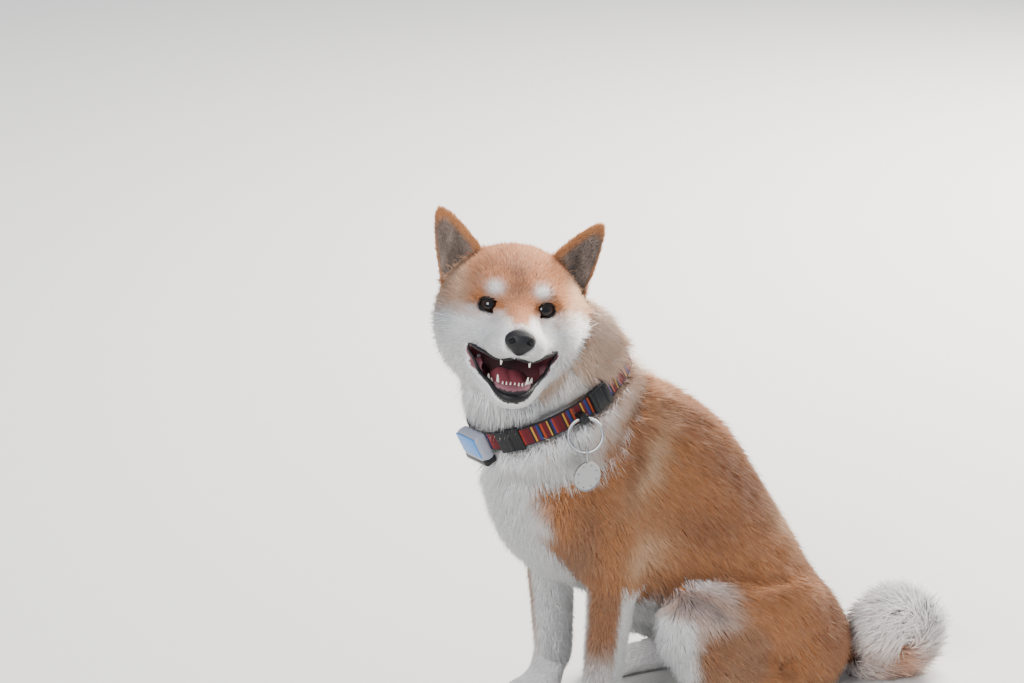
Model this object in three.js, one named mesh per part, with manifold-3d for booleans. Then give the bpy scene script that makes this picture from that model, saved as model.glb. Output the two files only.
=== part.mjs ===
// A shiba inu, life size, sitting with its head turned to its left and its mouth open,
// wearing a woven collar with a ring, a tag, a buckle and a small tracker box.
// Millimetres, +Z up. The dog faces -Y and +X is its left side. The origin is on the floor,
// in the middle of the flat that it sits on.
import * as THREE from "three";
import { RoundedBoxGeometry } from "three/addons/geometries/RoundedBoxGeometry.js";
import { mergeVertices } from "three/addons/utils/BufferGeometryUtils.js";
import Module from "manifold-3d";

const wasm = await Module();
wasm.setup();

// Driving dimensions

const withersHeight = 357;
const chestFront = -322;
const rumpBack = 66;
const bodyHalfWidth = 84;
const headYaw = 73;
const headPitch = -13.5;
const headRoll = 7.3;
const gap = 0.4;
const eyeRadius = 10.5;
const leftForeShift = 0;
const rightForeShift = -20;

// Small helpers

const degree = Math.PI / 180;
const at = (x, y, z) => new THREE.Vector3(x, y, z);
const clamp = (value, low, high) => Math.min(Math.max(value, low), high);
const mix = (from, to, share) => from + (to - from) * share;
const smoothstep = (low, high, value) => {
  const share = clamp((value - low) / (high - low), 0, 1);
  return share * share * (3 - 2 * share);
};

// A seeded draw from 0 to 1, the same in every run.
function seeded(seed) {
  let state = seed;
  return () => {
    state = (Math.imul(state, 1664525) + 1013904223) >>> 0;
    return state / 4294967296;
  };
}

// Flesh is described by fields: functions of a point that are negative inside, and grow by
// about 1 for each millimetre outwards.

// An egg-shaped mass, turned by degrees about X, then Y, then Z.
function egg(centre, radii, turn = [0, 0, 0]) {
  const angles = turn.map((angle) => angle * degree);
  const back = new THREE.Matrix4()
    .makeRotationFromEuler(new THREE.Euler(angles[0], angles[1], angles[2], "ZYX"))
    .invert();
  const local = at(0, 0, 0);
  const [rx, ry, rz] = radii;
  return (p) => {
    local.copy(p).sub(centre).applyMatrix4(back);
    const near = Math.hypot(local.x / rx, local.y / ry, local.z / rz);
    const slope = Math.hypot(local.x / (rx * rx), local.y / (ry * ry), local.z / (rz * rz));
    return slope > 1e-9 ? (near * (near - 1)) / slope : -Math.min(rx, ry, rz);
  };
}

// A limb of round section that tapers from one end to the other.
function limb(start, end, startRadius, endRadius) {
  const along = end.clone().sub(start);
  const lengthSquared = along.lengthSq();
  const local = at(0, 0, 0);
  return (p) => {
    local.copy(p).sub(start);
    const share = clamp(local.dot(along) / lengthSquared, 0, 1);
    return local.addScaledVector(along, -share).length() - mix(startRadius, endRadius, share);
  };
}

// Joins fields with a soft fillet about as wide as softness.
function blend(softness, ...fields) {
  return (p) => {
    let nearest = fields[0](p);
    for (const field of fields.slice(1)) {
      const next = field(p);
      const overlap = Math.max(softness - Math.abs(nearest - next), 0) / softness;
      nearest = Math.min(nearest, next) - (overlap * overlap * softness) / 4;
    }
    return nearest;
  };
}

// Presses a dent into a field.
function dent(softness, field, ...tools) {
  return (p) => {
    let inside = field(p);
    for (const tool of tools) {
      const cut = -tool(p);
      const overlap = Math.max(softness - Math.abs(inside - cut), 0) / softness;
      inside = Math.max(inside, cut) + (overlap * overlap * softness) / 4;
    }
    return inside;
  };
}

// Surfaces: a capsule is stretched along a spine, and each of its vertices is pushed out along
// its own normal until it meets the field.

const reach = 260;
const stride = 3;

function surfaceDistance(origin, direction, field, level) {
  const p = at(0, 0, 0);
  let inner = 0;
  let outer = stride;
  while (outer < reach && field(p.copy(origin).addScaledVector(direction, outer)) < level) {
    inner = outer;
    outer += stride;
  }
  for (let step = 0; step < 16; step += 1) {
    const middle = (inner + outer) / 2;
    if (field(p.copy(origin).addScaledVector(direction, middle)) < level) inner = middle;
    else outer = middle;
  }
  return (inner + outer) / 2;
}

// spine is a list of points, side the direction that the capsule's own X keeps to.
function wrap({ field, spine, side = at(1, 0, 0), around = 24, along = 12, cap = 5, level = 0 }) {
  const path =
    spine.length > 2 ? new THREE.CatmullRomCurve3(spine) : new THREE.LineCurve3(...spine);
  const capsule = bare(new THREE.CapsuleGeometry(1, 2, cap, around, along));
  const position = capsule.attributes.position;
  const vertex = at(0, 0, 0);
  for (let i = 0; i < position.count; i += 1) {
    vertex.fromBufferAttribute(position, i);
    const onAxis = clamp(vertex.y, -1, 1);
    const origin = path.getPoint((onAxis + 1) / 2);
    const tangent = path.getTangent((onAxis + 1) / 2);
    const across = side.clone().addScaledVector(tangent, -side.dot(tangent)).normalize();
    const third = across.clone().cross(tangent);
    const direction = across
      .multiplyScalar(vertex.x)
      .addScaledVector(tangent, vertex.y - onAxis)
      .addScaledVector(third, vertex.z)
      .normalize();
    const distance = surfaceDistance(origin, direction, field, level);
    position.setXYZ(i, ...origin.addScaledVector(direction, distance).toArray());
  }
  return capsule;
}

// Moves every vertex of a shape by a rule.
function warp(geometry, rule) {
  const shaped = bare(geometry);
  const position = shaped.attributes.position;
  const vertex = at(0, 0, 0);
  for (let i = 0; i < position.count; i += 1) {
    const moved = rule(vertex.fromBufferAttribute(position, i));
    position.setXYZ(i, moved.x, moved.y, moved.z);
  }
  return shaped;
}

// A closed surface with only positions, its shared vertices merged.
function bare(geometry) {
  if (!geometry.attributes.normal) return geometry;
  const copy = geometry.clone();
  copy.deleteAttribute("normal");
  copy.deleteAttribute("uv");
  return mergeVertices(copy, 1e-3);
}

function solid(geometry) {
  const merged = bare(geometry);
  const made = new wasm.Manifold(
    new wasm.Mesh({
      numProp: 3,
      vertProperties: new Float32Array(merged.attributes.position.array),
      triVerts: new Uint32Array(merged.index.array),
    }),
  );
  return made;
}

function surface(made) {
  const mesh = made.getMesh();
  const vertices = new Float32Array(mesh.numVert * 3);
  for (let i = 0; i < mesh.numVert; i += 1) {
    const first = i * mesh.numProp;
    vertices.set(mesh.vertProperties.subarray(first, first + 3), i * 3);
  }
  return new THREE.BufferGeometry()
    .setAttribute("position", new THREE.BufferAttribute(vertices, 3))
    .setIndex(new THREE.BufferAttribute(new Uint32Array(mesh.triVerts), 1));
}

// The largest closed surface of a solid: drops loose scraps and sealed hollows.
function main(made) {
  const parts = made.decompose();
  return parts.reduce((best, part) => (part.volume() > best.volume() ? part : best));
}

function placed(geometry, matrix) {
  return geometry.clone().applyMatrix4(matrix);
}

const materials = {
  redCoat: new THREE.MeshStandardMaterial({ color: 0xb9794c, roughness: 0.85 }),
  creamCoat: new THREE.MeshStandardMaterial({ color: 0xe9ded0, roughness: 0.9 }),
  blackSkin: new THREE.MeshStandardMaterial({ color: 0x121214, roughness: 0.35 }),
  darkEye: new THREE.MeshStandardMaterial({ color: 0x140c08, roughness: 0.06 }),
  tongue: new THREE.MeshStandardMaterial({ color: 0xa4505c, roughness: 0.4 }),
  webbing: new THREE.MeshStandardMaterial({ color: 0x5d1a1c, roughness: 0.85 }),
  blackPlastic: new THREE.MeshStandardMaterial({ color: 0x17181a, roughness: 0.4 }),
  greyPlastic: new THREE.MeshStandardMaterial({ color: 0x9aa2b4, roughness: 0.45 }),
  steel: new THREE.MeshStandardMaterial({ color: 0x9b9da0, roughness: 0.3, metalness: 1 }),
};

const dog = new THREE.Group();

function addPiece(name, made, material, parent = dog) {
  const mesh = new THREE.Mesh(surface(main(made)), materials[material]);
  mesh.name = name;
  parent.add(mesh);
  return mesh;
}

// The floor: everything below it is cut away, which leaves the small flats that the dog rests on.
const floorDepth = 100;
const floorBlock = new THREE.BoxGeometry(900, 900, floorDepth).translate(0, 0, -floorDepth / 2);
const floor = solid(floorBlock);

// Torso

const chestCentre = at(0, chestFront + 76, 262);
const ribCentre = at(0, -153, 226);
const loinCentre = at(0, -80, 150);
const shoulderPoint = (side, shift) => at(side * 48, -262 + shift, 246);

const torsoMasses = [
  egg(chestCentre, [72, 76, 100]),
  egg(ribCentre, [bodyHalfWidth, 118, 111], [-53, 0, 0]),
  egg(loinCentre, [78, 110, 87], [-54, 0, 0]),
  egg(at(0, rumpBack - 86, 80), [80, 90, 62], [-50, 0, 0]),
  egg(at(0, rumpBack - 72, 54), [76, 70, 58]),
  egg(at(0, -180, withersHeight - 70), [60, 62, 72]),
];
const torsoField = blend(42, ...torsoMasses);
const torsoShape = (level) =>
  wrap({
    field: torsoField,
    spine: [at(0, -245, 250), at(0, -125, 180), at(0, 0, 80)],
    around: 24,
    along: 12,
    cap: 6,
    level,
  });
const torsoWhole = solid(torsoShape(0)).subtract(floor);

// Neck

const neckFoot = at(0, -240, 298);
const neckTop = at(-4, -276, 412);
const neckField = blend(
  30,
  egg(at(0, -246, 308), [72, 84, 74]),
  egg(at(-4, -258, 368), [72, 91, 72]),
  egg(at(-5, -272, 414), [64, 70, 52]),
);
const neckShape = (level) =>
  wrap({ field: neckField, spine: [neckFoot, neckTop], around: 20, along: 6, cap: 4, level });

// Head, in its own frame: origin between the ears, -Y towards the nose, +X the dog's left.

const headGroup = new THREE.Group();
headGroup.position.set(0, -296, 445);
headGroup.rotation.set(headPitch * degree, headRoll * degree, headYaw * degree, "ZXY");
dog.add(headGroup);
headGroup.updateMatrixWorld(true);

const eyeSpread = 25.5;
const noseCentre = at(0, -124, -26);
const pair = (make) => [make(1), make(-1)];

const skullMasses = [
  egg(at(0, 8, 6), [61, 58, 53]),
  egg(at(0, -28, 8), [44, 34, 36]),
  ...pair((s) => egg(at(s * 41, 2, -20), [31, 46, 40])),
  ...pair((s) => egg(at(s * 36, -32, -26), [25, 30, 27])),
  egg(at(0, 4, -46), [52, 50, 42]),
];
const muzzleMasses = [
  limb(at(0, -50, -12), at(0, -106, -24), 27, 16),
  ...pair((s) => egg(at(s * 13, -88, -33), [17, 34, 15])),
  ...pair((s) => egg(at(s * 24, -58, -34), [17, 26, 14])),
];
const browMasses = pair((s) => egg(at(s * 22, -46, 13), [17, 15, 12]));
const headField = blend(12, blend(28, ...skullMasses), blend(10, ...muzzleMasses), ...browMasses);
const headShape = (level) =>
  wrap({
    field: headField,
    spine: [at(0, 12, -10), at(0, -44, -14), at(0, -96, -26)],
    around: 28,
    along: 14,
    cap: 3,
    level,
  });

// Eyes: balls set a little behind the surface, seen through almond openings.

const lidDepth = 3.5;
const towardsNose = at(0, -1, 0);
const eyeFront = -20 - surfaceDistance(at(eyeSpread, -20, 0), towardsNose, headField, 0);
const eyeCentre = (side) => at(side * eyeSpread, eyeFront + eyeRadius + lidDepth, 0);
const eyeBall = (side, grow) =>
  new THREE.SphereGeometry(eyeRadius + grow, 12, 8).translate(...eyeCentre(side).toArray());
const eyeOpening = (side) =>
  new THREE.SphereGeometry(1, 12, 8)
    .scale(11.5, 14, 7)
    .rotateY(side * -12 * degree)
    .rotateZ(side * -20 * degree)
    .translate(side * (eyeSpread + 2), eyeFront + 1, 0);

// Mouth: a cavity in the head, and the lower jaw hanging open below it

const cavityField = blend(
  10,
  egg(at(0, -80, -58), [20, 42, 15], [14, 0, 0]),
  ...pair((s) => egg(at(s * 24, -60, -50), [20, 24, 10], [16, 0, 0])),
  ...pair((s) => egg(at(s * 33, -62, -45), [14, 20, 7.5], [0, s * -38, 0])),
  egg(at(0, -36, -60), [26, 42, 17], [18, 0, 0]),
);
const cavityShape = (level) =>
  wrap({
    field: cavityField,
    spine: [at(0, -18, -58), at(0, -104, -60)],
    around: 16,
    along: 7,
    cap: 3,
    level,
  });

const jawField = blend(
  12,
  ...pair((s) => limb(at(s * 38, -26, -55), at(s * 12, -91, -77), 15, 8)),
  egg(at(0, -94, -79), [14, 12, 8.5]),
  egg(at(0, -50, -76), [27, 50, 14], [12, 0, 0]),
);
const jawShape = (level) =>
  wrap({
    field: jawField,
    spine: [at(0, -14, -68), at(0, -88, -81)],
    around: 18,
    along: 7,
    cap: 3,
    level,
  });
const troughField = blend(
  8,
  egg(at(0, -54, -59), [31, 45, 15], [17, 0, 0]),
  egg(at(0, -82, -71), [10, 13, 7], [18, 0, 0]),
);
const troughShape = wrap({
  field: troughField,
  spine: [at(0, -30, -56), at(0, -78, -70)],
  around: 14,
  along: 5,
  cap: 3,
});

// Nose: a rounded pad with two nostrils

const noseField = blend(6, egg(noseCentre, [15, 9, 11]), egg(at(0, -118, -33), [7, 8, 9]));
const nostril = (side) =>
  new THREE.SphereGeometry(1, 10, 6)
    .scale(4.4, 4, 2.6)
    .rotateY(side * 28 * degree)
    .translate(side * 9, -131.5, -27);
const noseShape = (level) =>
  wrap({
    field: noseField,
    spine: [at(-7, -122, -27), at(7, -122, -27)],
    side: at(0, 0, 1),
    around: 12,
    along: 4,
    cap: 3,
    level,
  });

// Tongue: a flat blade with a groove, lying in the trough of the jaw

const tongueField = dent(
  4,
  blend(8, egg(at(0, -40, -66), [19, 34, 8], [16, 0, 0]), egg(at(0, -68, -73), [15, 20, 6], [14, 0, 0])),
  egg(at(0, -62, -61), [2.2, 30, 5], [15, 0, 0]),
);
const tongueShape = () =>
  wrap({ field: tongueField, spine: [at(0, -26, -62), at(0, -74, -75)], around: 12, along: 6, cap: 2 });

// Teeth: small cones in a row along each lip, longer at the canines

function tooth(x, y, z, width, height, down) {
  return new THREE.CylinderGeometry(width * 0.22, width / 2, height, 6)
    .rotateX((down ? -90 : 90) * degree)
    .translate(x, y, z + ((down ? -1 : 1) * height) / 2);
}

// Ears: a leaf from its base across the side of the skull up to a rounded tip, cupped forwards

const earInner = at(27, -4, 47);
const earOuter = at(74, 10, 14);
const earTip = at(80, -4, 83);
const earThickness = 4;
const earCup = 11;
function earShape(side, grow) {
  const middle = earInner.clone().add(earOuter).multiplyScalar(0.5);
  const along = earTip.clone().sub(middle);
  const across = earOuter.clone().sub(earInner).multiplyScalar(0.5);
  const facing = across.clone().cross(along).normalize();
  const leaf = new THREE.SphereGeometry(1, 16, 12).rotateX(Math.PI / 2);
  const shaped = warp(leaf, (v) => {
    const share = mix(-0.3, 1, (v.z + 1) / 2);
    const ring = Math.hypot(v.x, v.y);
    const [cosine, sine] = ring > 1e-6 ? [v.x / ring, v.y / ring] : [0, 0];
    const width = Math.pow(Math.max(1 - share, 0) / 1.3, 0.52) * 1.02 + grow / across.length();
    const place = cosine * width;
    const thick = (mix(earThickness + 3, earThickness - 1, clamp(share, 0, 1)) / 2 + grow) * sine;
    const back = earCup * (1 - 0.6 * clamp(share, 0, 1)) * (1 - place * place);
    return middle
      .clone()
      .addScaledVector(along, share)
      .addScaledVector(across, place)
      .addScaledVector(facing, -thick - back);
  });
  if (side > 0) return shaped;
  shaped.scale(-1, 1, 1);
  const index = shaped.index.array;
  for (let i = 0; i < index.length; i += 3) [index[i], index[i + 1]] = [index[i + 1], index[i]];
  return shaped;
}

// Forelegs, one set of landmarks for each side

function foreleg(side, shift) {
  const shoulder = shoulderPoint(side, shift / 2);
  const elbow = at(side * 57, -212 + shift, 172);
  const carpus = at(side * 46, -218 + shift * 0.7, 60);
  const pastern = at(side * 46, -226 + shift * 0.7, 32);
  const foot = at(side * 46, -240 + shift * 0.7, 15);
  const upper = blend(
    22,
    limb(shoulder, elbow, 36, 27),
    egg(at(side * 56, -206 + shift, 214), [26, 38, 46], [-18, 0, 0]),
  );
  const lower = blend(
    16,
    limb(elbow, carpus, 27, 21),
    limb(at(side * 57, -200 + shift, 172), elbow, 14, 20),
  );
  const toes = [-1.5, -0.5, 0.5, 1.5].map((place) => {
    const forward = Math.abs(place) > 1 ? 17 : 25;
    return egg(foot.clone().add(at(place * 11, -forward, -3)), [7.6, 13, 11], [8, 0, 0]);
  });
  const paw = blend(
    5,
    blend(14, limb(carpus, pastern, 19, 18), egg(foot, [23, 25, 17])),
    ...toes,
  );
  return { shoulder, elbow, carpus, pastern, foot, upper, lower, paw };
}

// Hind legs, folded under a sitting dog

function hindleg(side) {
  const hip = at(side * 45, -22, 92);
  const knee = at(side * 75, -120, 112);
  const hock = at(side * 80, -46, 27);
  const metatarsus = at(side * 82, -112, 17);
  const foot = at(side * 84, -140, 15);
  const thigh = blend(
    26,
    egg(hip, [38, 54, 60]),
    egg(at(side * 64, -68, 106), [36, 72, 54], [4, 0, side * 14]),
    egg(knee, [37, 54, 56]),
  );
  const shank = blend(16, limb(at(side * 82, -122, 84), hock, 38, 23), egg(hock, [22, 26, 26]));
  const toes = [-1.5, -0.5, 0.5, 1.5].map((place) => {
    const forward = Math.abs(place) > 1 ? 17 : 25;
    return egg(foot.clone().add(at(place * 10.4, -forward, -3)), [7.2, 13, 10.5], [8, 0, 0]);
  });
  const paw = blend(
    5,
    blend(12, limb(hock.clone().add(at(0, 2, -6)), metatarsus, 20, 17), egg(foot, [22, 26, 16])),
    ...toes,
  );
  return { hip, knee, hock, metatarsus, foot, thigh, shank, paw };
}

// Tail: a curl lying behind the rump

const tailPath = [
  at(0, 40, 34),
  at(4, 84, 28),
  at(14, 126, 30),
  at(24, 140, 48),
  at(31, 122, 66),
  at(35, 96, 58),
];
const tailCurve = new THREE.CatmullRomCurve3(tailPath);
const tailRadius = (share) => mix(20, 14, share);

// Axes at a share of the tail's length: along it, across it, and square to both
function tailFrame(share) {
  const along = tailCurve.getTangent(share);
  const across = at(1, 0, 0).addScaledVector(along, -along.x).normalize();
  return { origin: tailCurve.getPoint(share), along, across, third: across.clone().cross(along) };
}
const tailCore = warp(new THREE.CapsuleGeometry(1, 2, 3, 12, 14), (v) => {
  const onAxis = clamp(v.y, -1, 1);
  const share = (onAxis + 1) / 2;
  const { origin, along, across, third } = tailFrame(share);
  const radius = tailRadius(share);
  return origin
    .addScaledVector(across, v.x * radius)
    .addScaledVector(along, (v.y - onAxis) * radius)
    .addScaledVector(third, v.z * radius);
});

// A flat lock of fur that rises from the tail and bends along it to a point
function tailLock(share, angle, length, width) {
  const { origin, along, across, third } = tailFrame(share);
  const out = across.multiplyScalar(Math.cos(angle)).addScaledVector(third, Math.sin(angle));
  const wide = along.clone().cross(out);
  const root = origin.addScaledVector(out, tailRadius(share) * 0.45);
  return warp(new THREE.ConeGeometry(1, 1, 4, 2), (v) => {
    const rise = v.y + 0.5;
    const ring = Math.hypot(v.x, v.z);
    const [cosine, sine] = ring > 1e-6 ? [v.x / ring, v.z / ring] : [0, 0];
    const spread = (width / 2) * Math.pow(1 - rise, 0.55);
    return root
      .clone()
      .addScaledVector(out, length * (0.95 * rise - 0.3 * rise * rise) + sine * spread * 0.3)
      .addScaledVector(along, length * (0.12 * rise + 0.6 * rise * rise) - sine * spread * 0.45)
      .addScaledVector(wide, cosine * spread);
  });
}

const tailRows = 8;
const locksInRow = 5;
const lockLength = 31;
const lockWidth = 29;
function tailLocks() {
  const draw = seeded(11);
  const locks = [];
  for (let row = 0; row < tailRows; row += 1) {
    const share = mix(0.26, 0.97, row / (tailRows - 1));
    for (let i = 0; i < locksInRow; i += 1) {
      const angle = ((i + (row % 2) / 2) / locksInRow) * 2 * Math.PI + (draw() - 0.5) * 0.25;
      const inwards = Math.sin(angle) > 0.75 && share > 0.4;
      const length = lockLength * mix(0.88, 1.12, draw()) * (inwards ? 0.5 : 1);
      locks.push(tailLock(share, angle, length, lockWidth * mix(0.9, 1.1, draw())));
    }
  }
  return locks;
}

// Collar: a woven band round the neck, low in front and high at the nape

const collarCentre = at(0, -258, 350);
const collarTilt = 25;
const bandHeight = 20;
const bandThickness = 2.6;
const grooveFlare = 6;
const neckAndTorso = blend(20, neckField, torsoField);
const collarTurn = new THREE.Matrix4()
  .makeRotationX(collarTilt * degree)
  .setPosition(collarCentre);
const rounded = (value) =>
  Math.abs(value) < 1e-6 ? 0 : Math.sign(value) * Math.pow(Math.abs(value), 0.15);
// The band presses into the coat, most of all under the long hair of the nape.
const bandSink = (angle) => mix(3.5, 9, smoothstep(0.1, 0.9, Math.sin(angle)));
// The middle of the band's inner face, at an angle counted from the dog's left towards its back
function collarRadius(angle) {
  const direction = at(Math.cos(angle), Math.sin(angle), 0).transformDirection(collarTurn);
  return surfaceDistance(collarCentre, direction, neckAndTorso, 0) - bandSink(angle);
}
function collarPoint(angle, outwards, upwards) {
  const radius = collarRadius(angle) + outwards;
  return at(radius * Math.cos(angle), radius * Math.sin(angle), upwards).applyMatrix4(collarTurn);
}
// A ring round the neck from one depth to another, its outer edge flared
function ringAround(inner, outer, height, flare) {
  return warp(new THREE.TorusGeometry(1, 0.25, 6, 36), (v) => {
    const angle = Math.atan2(v.y, v.x);
    const tube = Math.atan2(v.z, Math.hypot(v.x, v.y) - 1);
    const share = (rounded(Math.cos(tube)) + 1) / 2;
    const upwards = rounded(Math.sin(tube)) * (height / 2 + flare * share);
    return collarPoint(angle, mix(inner, outer, share), upwards);
  });
}
const band = (grow) => ringAround(-grow, bandThickness + grow, bandHeight + 2 * grow, 0);
const groove = ringAround(-gap - 1, bandThickness + 14, bandHeight + 2 * gap, grooveFlare);

// A matrix that stands a fitting on the band: its X along the band, Y outwards, Z up the band
function onBand(angle, outwards, upwards) {
  const origin = collarPoint(angle, outwards, upwards);
  const ahead = collarPoint(angle + 0.02, outwards, upwards).sub(origin).normalize();
  const up = at(0, 0, 1).transformDirection(collarTurn);
  const out = ahead.clone().cross(up).normalize();
  return new THREE.Matrix4().makeBasis(ahead.negate(), out, up).setPosition(origin);
}

const buckleAngle = 24 * degree;
const sliderAngle = -55 * degree;
const trackerAngle = -85 * degree;
const ringAngle = 2 * degree;

const fittingBox = (width, depth, height, radius) =>
  new RoundedBoxGeometry(width, depth, height, 1, radius);
const buckleShape = (grow) =>
  fittingBox(24 + grow, 8 + grow, 24 + grow, 3).applyMatrix4(onBand(buckleAngle, bandThickness + 1, 0));
const sliderShape = (grow) =>
  fittingBox(26 + grow, 5 + grow, 25 + grow, 2).applyMatrix4(onBand(sliderAngle, bandThickness, 0));
const trackerShape = (grow) =>
  fittingBox(40 + grow, 14 + grow, 34 + grow, 5).applyMatrix4(
    onBand(trackerAngle, bandThickness + 5.5, -5),
  );

// The metal ring hangs from a small keeper sewn on the band, and the tag from the ring.

const ringRadius = 16.5;
const ringWire = 1.7;
const ringTurn = 62;
const ringLean = 20;
const ringTop = collarPoint(ringAngle, bandThickness + 9, -3);
const ringDown = at(Math.sin(ringLean * degree), 0, -Math.cos(ringLean * degree));
const ringCentre = ringTop.clone().addScaledVector(ringDown, ringRadius);
const ringShape = (grow) =>
  new THREE.TorusGeometry(ringRadius, ringWire + grow, 5, 24)
    .rotateX(Math.PI / 2)
    .rotateZ(ringTurn * degree)
    .rotateY(-ringLean * degree)
    .translate(...ringCentre.toArray());
const keeperShape = (grow) =>
  fittingBox(9 + grow, 16 + grow, 10 + grow, 2).applyMatrix4(onBand(ringAngle, bandThickness + 5, -3));

const tagRadius = 15;
const tagThickness = 2.2;
const linkLength = 17;
const tagTurn = 100;
const linkTop = ringTop.clone().addScaledVector(ringDown, 2 * ringRadius - 3.4);
const linkShape = warp(new THREE.TorusGeometry(1, 0.25, 5, 14), (v) => {
  const angle = Math.atan2(v.y, v.x);
  const tube = Math.atan2(v.z, Math.hypot(v.x, v.y) - 1);
  const wire = 1.1;
  const x = Math.cos(angle) * (4.2 + Math.cos(tube) * wire);
  const z = Math.sin(angle) * (linkLength / 2 - wire + Math.cos(tube) * wire);
  return at(x, -Math.sin(tube) * wire, z);
})
  .rotateZ((ringTurn + 90) * degree)
  .translate(linkTop.x, linkTop.y, linkTop.z - linkLength / 2 + 2.2);
const tagShape = new THREE.CylinderGeometry(tagRadius, tagRadius, tagThickness, 28)
  .rotateZ(0.5 * Math.PI)
  .rotateZ((tagTurn - 90) * degree)
  .translate(linkTop.x, linkTop.y, linkTop.z - linkLength - tagRadius + 4);

// Assembly: each node is cut clear of the ones that it grows from.

const headMatrix = headGroup.matrixWorld.clone();
const toHead = headMatrix.clone().invert();
const inHead = (geometry) => solid(placed(geometry, toHead));
const cutAll = (made, ...cutters) => cutters.reduce((left, cutter) => left.subtract(cutter), made);

const collar = solid(band(0)).add(solid(keeperShape(0))).subtract(solid(ringShape(gap)));
const fittings = {
  collar_buckle: buckleShape,
  collar_slider: sliderShape,
  collar_tracker: trackerShape,
};
const fittingCutters = [
  solid(groove),
  solid(keeperShape(2 * gap)),
  ...Object.values(fittings).map((make) => solid(make(2 * gap))),
];
const fittingMaterials = {
  collar_buckle: "blackPlastic",
  collar_slider: "blackPlastic",
  collar_tracker: "greyPlastic",
};

const torsoGrown = solid(torsoShape(gap));
const neckGrown = solid(neckShape(gap));
const headGrown = headShape(gap);
const headGrownOutside = solid(placed(headGrown, headMatrix));
addPiece("torso", cutAll(torsoWhole, ...fittingCutters), "redCoat");
addPiece("neck", cutAll(solid(neckShape(0)), torsoGrown, ...fittingCutters), "redCoat");

const socketTools = pair((side) => [solid(eyeBall(side, gap)), solid(eyeOpening(side))]).flat();
const teethAbove = [];
const teethBelow = [];
for (const place of [-2.5, -1.5, -0.5, 0.5, 1.5, 2.5]) {
  const turn = place * 0.26;
  teethBelow.push(
    tooth(Math.sin(turn) * 11, -83 - Math.cos(turn) * 9, -78, 3.2, 6, false),
  );
}
for (const side of [1, -1]) {
  teethBelow.push(tooth(side * 11.5, -87, -78, 5, 12, false));
  teethAbove.push(tooth(side * 12, -100, -38, 5, 9, true));
}

const headWhole = cutAll(
  solid(headShape(0)),
  solid(cavityShape(0)),
  solid(noseShape(gap)),
  inHead(neckShape(gap)),
  ...socketTools,
);
const withTeeth = (made, teeth) => teeth.reduce((sum, shape) => sum.add(solid(shape)), made);
addPiece("head", withTeeth(headWhole, teethAbove), "redCoat", headGroup);
addPiece("nose", cutAll(solid(noseShape(0)), ...pair(nostril).map(solid)), "blackSkin", headGroup);

const jawWhole = cutAll(
  solid(jawShape(0)),
  solid(troughShape),
  solid(headGrown).subtract(solid(cavityShape(-2 * gap))),
  inHead(neckShape(gap)),
);
addPiece("lower_jaw", withTeeth(jawWhole, teethBelow), "creamCoat", headGroup);
const tongue = cutAll(
  solid(tongueShape()),
  solid(jawShape(gap)).subtract(solid(troughShape)),
  inHead(neckShape(gap)),
  solid(headGrown).subtract(solid(cavityShape(-gap))),
);
addPiece("tongue", tongue, "tongue", headGroup);

const sides = [
  ["left", 1, leftForeShift],
  ["right", -1, rightForeShift],
];
for (const [word, side, shift] of sides) {
  addPiece(`eye_${word}`, solid(eyeBall(side, 0)), "darkEye", headGroup);
  const ear = cutAll(solid(earShape(side, 0)), solid(headGrown), inHead(neckShape(gap)));
  addPiece(`ear_${word}`, ear, "redCoat", headGroup);

  const fore = foreleg(side, shift);
  const upperShape = (level) =>
    wrap({ field: fore.upper, spine: [fore.shoulder, fore.elbow], around: 16, along: 5, cap: 3, level });
  const lowerShape = (level) =>
    wrap({ field: fore.lower, spine: [fore.elbow, fore.carpus], around: 14, along: 6, cap: 3, level });
  const pawSpine = [fore.carpus, fore.pastern, fore.foot.clone().add(at(0, -6, -2))];
  const pawShape = wrap({ field: fore.paw, spine: pawSpine, around: 20, along: 5, cap: 3 });
  const upperGrown = solid(upperShape(gap));
  addPiece(
    `upper_arm_${word}`,
    cutAll(solid(upperShape(0)), torsoGrown, neckGrown, ...fittingCutters),
    "redCoat",
  );
  addPiece(`forearm_${word}`, cutAll(solid(lowerShape(0)), upperGrown, torsoGrown), "creamCoat");
  addPiece(`fore_paw_${word}`, cutAll(solid(pawShape), solid(lowerShape(gap)), floor), "creamCoat");

  const hind = hindleg(side);
  const thighShape = (level) =>
    wrap({ field: hind.thigh, spine: [hind.hip, hind.knee], around: 18, along: 6, cap: 4, level });
  const shankSpine = [at(side * 82, -120, 84), hind.hock];
  const shankShape = (level) =>
    wrap({ field: hind.shank, spine: shankSpine, around: 14, along: 5, cap: 3, level });
  const hindPawSpine = [hind.hock.clone().add(at(0, 0, -8)), hind.metatarsus, hind.foot];
  const hindPawShape = wrap({ field: hind.paw, spine: hindPawSpine, around: 20, along: 5, cap: 3 });
  const thighGrown = solid(thighShape(gap));
  const shankGrown = solid(shankShape(gap));
  addPiece(`thigh_${word}`, cutAll(solid(thighShape(0)), torsoGrown, floor), "redCoat");
  addPiece(
    `shank_${word}`,
    cutAll(solid(shankShape(0)), thighGrown, torsoGrown, floor),
    "creamCoat",
  );
  addPiece(
    `hind_paw_${word}`,
    cutAll(solid(hindPawShape), shankGrown, thighGrown, torsoGrown, floor),
    "creamCoat",
  );
}

const tailWhole = tailLocks().reduce((sum, lock) => sum.add(solid(lock)), solid(tailCore));
const tail = cutAll(tailWhole, torsoGrown, floor);
addPiece("tail", tail, "creamCoat");

addPiece("collar", collar, "webbing");
for (const [name, make] of Object.entries(fittings)) {
  addPiece(name, solid(make(0)).subtract(solid(band(gap))), fittingMaterials[name]);
}
addPiece("collar_ring", solid(ringShape(0)), "steel");
addPiece("collar_tag", solid(tagShape).add(solid(linkShape)), "steel");

export default dog;
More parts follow.
